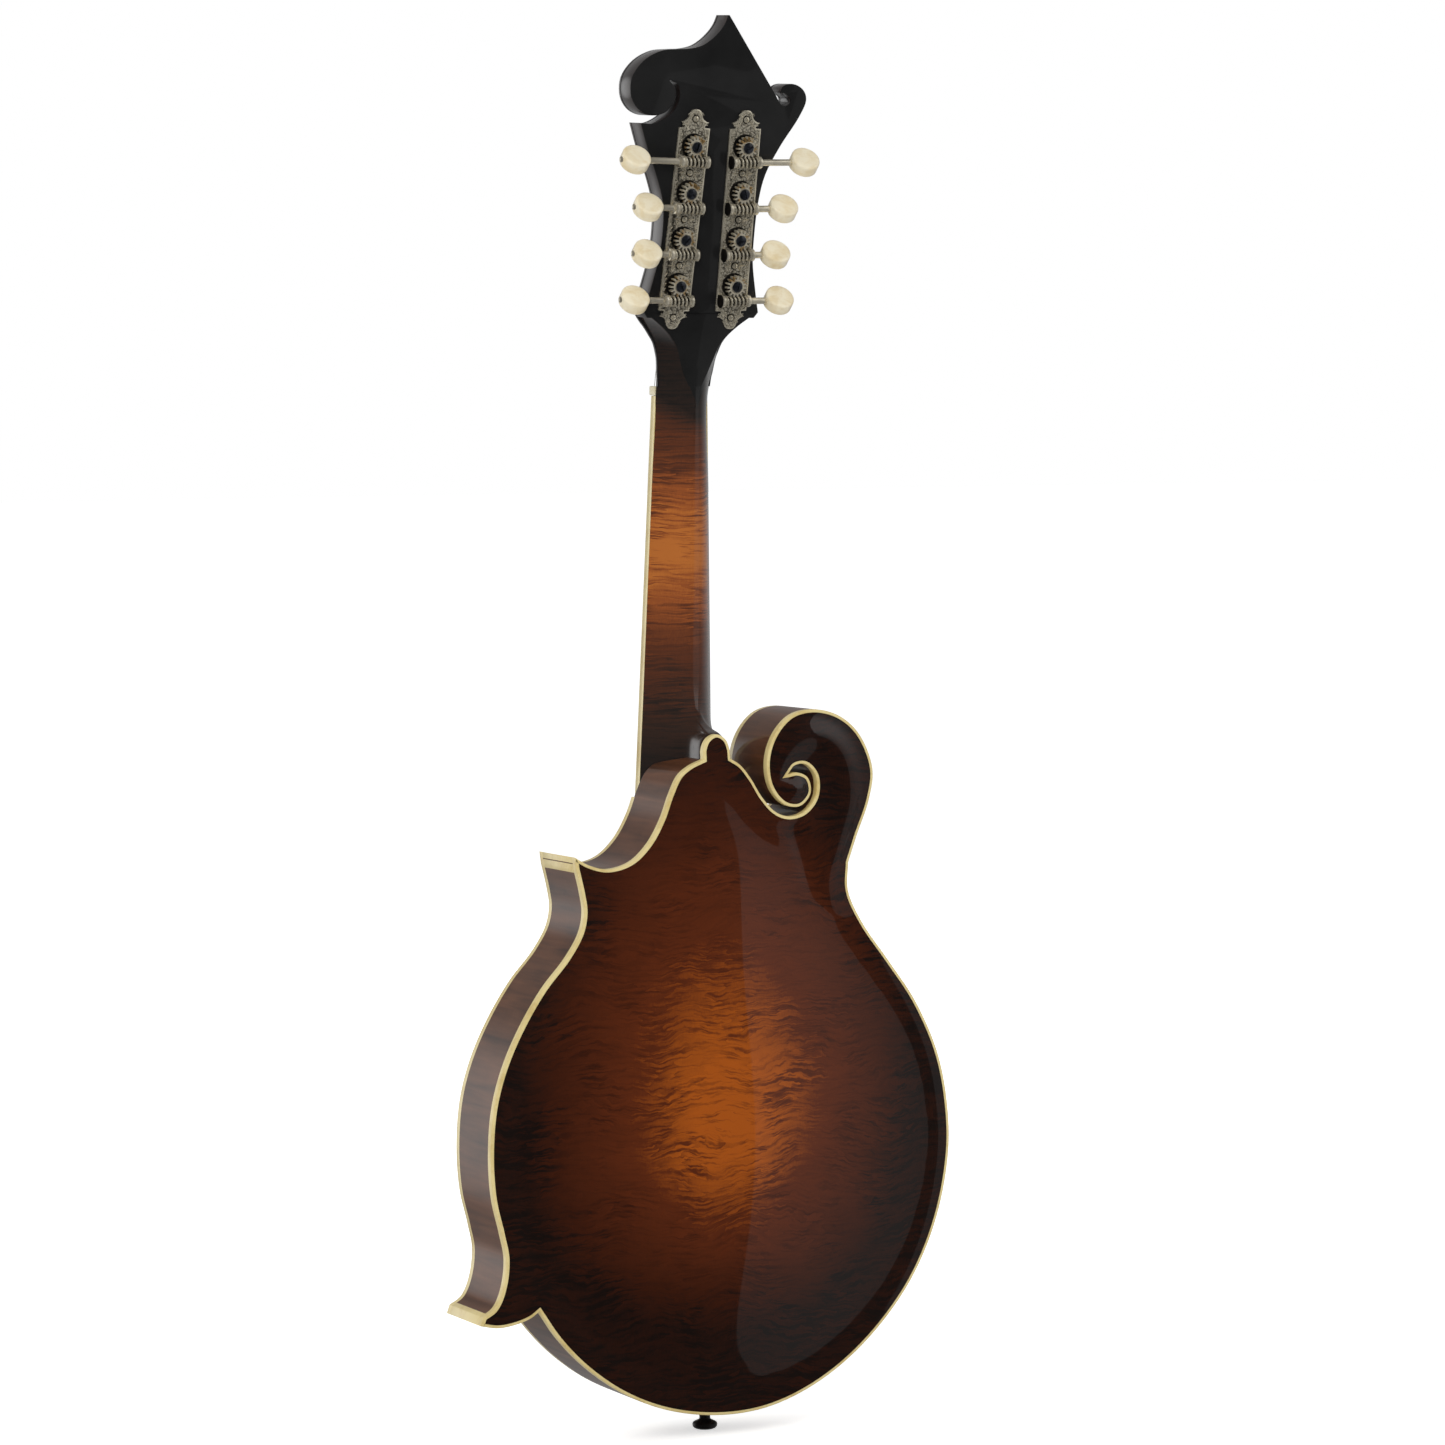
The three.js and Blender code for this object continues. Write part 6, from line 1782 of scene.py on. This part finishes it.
class MANDOLIN_OT_inner_parts(bpy.types.Operator):
    """Finish the blocks, tone bars and truss rod inside the instrument"""
    bl_idname = "mandolin.inner_parts"
    bl_label = "Inner parts"

    def execute(self, context):
        for node in ("head_block", "tail_block", "upper_point_block", "lower_point_block", "bass_tone_bar",
                     "treble_tone_bar", "truss_rod"):
            finish = "Rod steel" if node == "truss_rod" else "Inner wood"
            for place in frame["nodes"][node].material_slots:
                place.material = finish_named(finish)
        return {"FINISHED"}


# ---------------------------------------------------------------- stage

def lamp(name, place, target, size, power):
    """A square lamp that doesn't show in glossy surfaces."""
    light = bpy.data.lights.new(name, "AREA")
    light.size = size
    light.energy = power
    made = bpy.data.objects.new(name, light)
    made.location = place
    made.rotation_euler = (Vector(place) - Vector(target)).to_track_quat("Z", "Y").to_euler()
    made.visible_glossy = False
    bpy.context.scene.collection.objects.link(made)


def panel(name, corners, finish):
    """A flat panel of the stage, and the nodes of its finish."""
    mesh = bpy.data.meshes.new(name)
    mesh.from_pydata(corners, [], [(0, 1, 2, 3)])
    made = bpy.data.objects.new(name, mesh)
    bpy.context.scene.collection.objects.link(made)
    material = bpy.data.materials.new(finish)
    material.use_nodes = True
    mesh.materials.append(material)
    return made, Shader(material.node_tree)


def softbox(level):
    """A tall panel beside the camera, brighter towards its top, that shows only in glossy surfaces."""
    right, left = SOFTBOX_RIGHT, SOFTBOX_LEFT
    low, high = -SOFTBOX_HALF, SOFTBOX_HALF
    made, shader = panel("Softbox panel", [(*right, low), (*left, low), (*left, high), (*right, high)],
                         "Softbox cloth")
    made.visible_camera = made.visible_diffuse = made.visible_shadow = made.visible_transmission = False
    _, _, z = shader.axes(shader.place())
    glow = shader.between(z, 0.2, 1.4, level * 0.3, level)
    lit = shader.node("ShaderNodeEmission", {}, {"Color": WHITE, "Strength": glow})
    shader.node("ShaderNodeOutputMaterial", {}, {"Surface": lit})


def pale_floor():
    """A floor that the camera sees white and that takes a soft shadow."""
    far, low = FLOOR_HALF, FLOOR_HEIGHT
    made, shader = panel("Floor", [(-far, -far, low), (far, -far, low), (far, far, low), (-far, far, low)],
                         "Pale floor")
    made.visible_glossy = False
    seen = shader.node("ShaderNodeLightPath", output="Is Camera Ray")
    paint = shader.node("ShaderNodeBsdfDiffuse", {}, {"Color": (0.86, 0.86, 0.86)})
    glow = shader.node("ShaderNodeEmission", {}, {"Color": WHITE, "Strength": seen * 0.6})
    both = shader.node("ShaderNodeAddShader", {}, {0: paint, 1: glow})
    shader.node("ShaderNodeOutputMaterial", {}, {"Surface": both})


def studio_light(world, daylight):
    """Light from all round, white behind the part, with a dim room and a bright side in glossy surfaces."""
    world.use_nodes = True
    sky = Shader(world.node_tree)
    path = sky.node("ShaderNodeLightPath")
    camera_ray, glossy_ray, clear_ray = (
        Link(sky, path.socket.node.outputs[f"Is {kind} Ray"]) for kind in ("Camera", "Glossy", "Transmission"))
    room = sky.between(sky.facing(-0.44, -0.895, -0.06), 0.0, 0.55, 0.015, 0.3)
    room = room + sky.between(sky.facing(0.44, -0.895, 0.0), 0.93, 0.995, 0.0, 0.95)
    white = camera_ray.maths("MAXIMUM", camera_ray, clear_ray)
    gloss = glossy_ray * (1 - white)
    level = white + gloss * room + (1 - white) * (1 - gloss) * daylight
    out = sky.node("ShaderNodeBackground", {}, {"Color": WHITE, "Strength": level})
    sky.node("ShaderNodeOutputWorld", {}, {"Surface": out})


class MANDOLIN_OT_stage(bpy.types.Operator):
    """Set up the pale floor, the soft light and the camera"""
    bl_idname = "mandolin.stage"
    bl_label = "Stage"

    def execute(self, context):
        scene = context.scene
        stage = scene.mandolin_stage
        camera = bpy.data.cameras.new("Camera")
        camera.lens = stage.lens
        camera.sensor_width = 36
        camera.clip_start, camera.clip_end = 0.1, 60
        eye = bpy.data.objects.new("Camera", camera)
        eye.location = CAMERA_PLACE
        eye.rotation_euler = tuple(math.radians(a) for a in CAMERA_TURN)
        scene.collection.objects.link(eye)
        scene.camera = eye
        scene.view_settings.view_transform = "Standard"
        pale_floor()
        scene.world = bpy.data.worlds.new("Studio")
        studio_light(scene.world, stage.daylight)
        softbox(stage.softbox)
        lamp("Key lamp", (1.6, 2.2, 2.2), (0, 0, 0.3), 1.6, stage.key)
        lamp("Front lamp", (-0.8, -2.4, 1.6), (0, 0, 0.35), 1.6, stage.key * 0.8)
        return {"FINISHED"}


OPERATORS = (
    MANDOLIN_OT_stage, MANDOLIN_OT_back, MANDOLIN_OT_top, MANDOLIN_OT_ribs, MANDOLIN_OT_bindings,
    MANDOLIN_OT_neck, MANDOLIN_OT_headstock, MANDOLIN_OT_tuner_plates, MANDOLIN_OT_gears, MANDOLIN_OT_worms,
    MANDOLIN_OT_buttons, MANDOLIN_OT_fingerboard, MANDOLIN_OT_bridge, MANDOLIN_OT_tailpiece,
    MANDOLIN_OT_strings, MANDOLIN_OT_inner_parts,
)


class MANDOLIN_PT_panel(bpy.types.Panel):
    """Lists the pieces and their settings"""
    bl_idname = "MANDOLIN_PT_panel"
    bl_label = "Mandolin"
    bl_space_type = "VIEW_3D"
    bl_region_type = "UI"
    bl_category = "Mandolin"

    def draw(self, context):
        for group in SETTINGS:
            box = self.layout.box()
            values = getattr(context.scene, group)
            for name in values.bl_rna.properties.keys():
                if name not in ("rna_type", "name"):
                    box.prop(values, name)
        for operator in OPERATORS:
            self.layout.operator(operator.bl_idname)


SETTINGS = {
    "mandolin_lacquer": LacquerSettings, "mandolin_trim": TrimSettings,
    "mandolin_hardware": HardwareSettings, "mandolin_stage": StageSettings,
}


def register():
    for kind in (*SETTINGS.values(), *OPERATORS, MANDOLIN_PT_panel):
        bpy.utils.register_class(kind)
    for name, kind in SETTINGS.items():
        setattr(bpy.types.Scene, name, PointerProperty(type=kind))


def unregister():
    for name in SETTINGS:
        delattr(bpy.types.Scene, name)
    for kind in reversed((*SETTINGS.values(), *OPERATORS, MANDOLIN_PT_panel)):
        bpy.utils.unregister_class(kind)


def main():
    register()
    for operator in OPERATORS:
        group, name = operator.bl_idname.split(".")
        getattr(getattr(bpy.ops, group), name)()


if __name__ == "__main__":
    main()
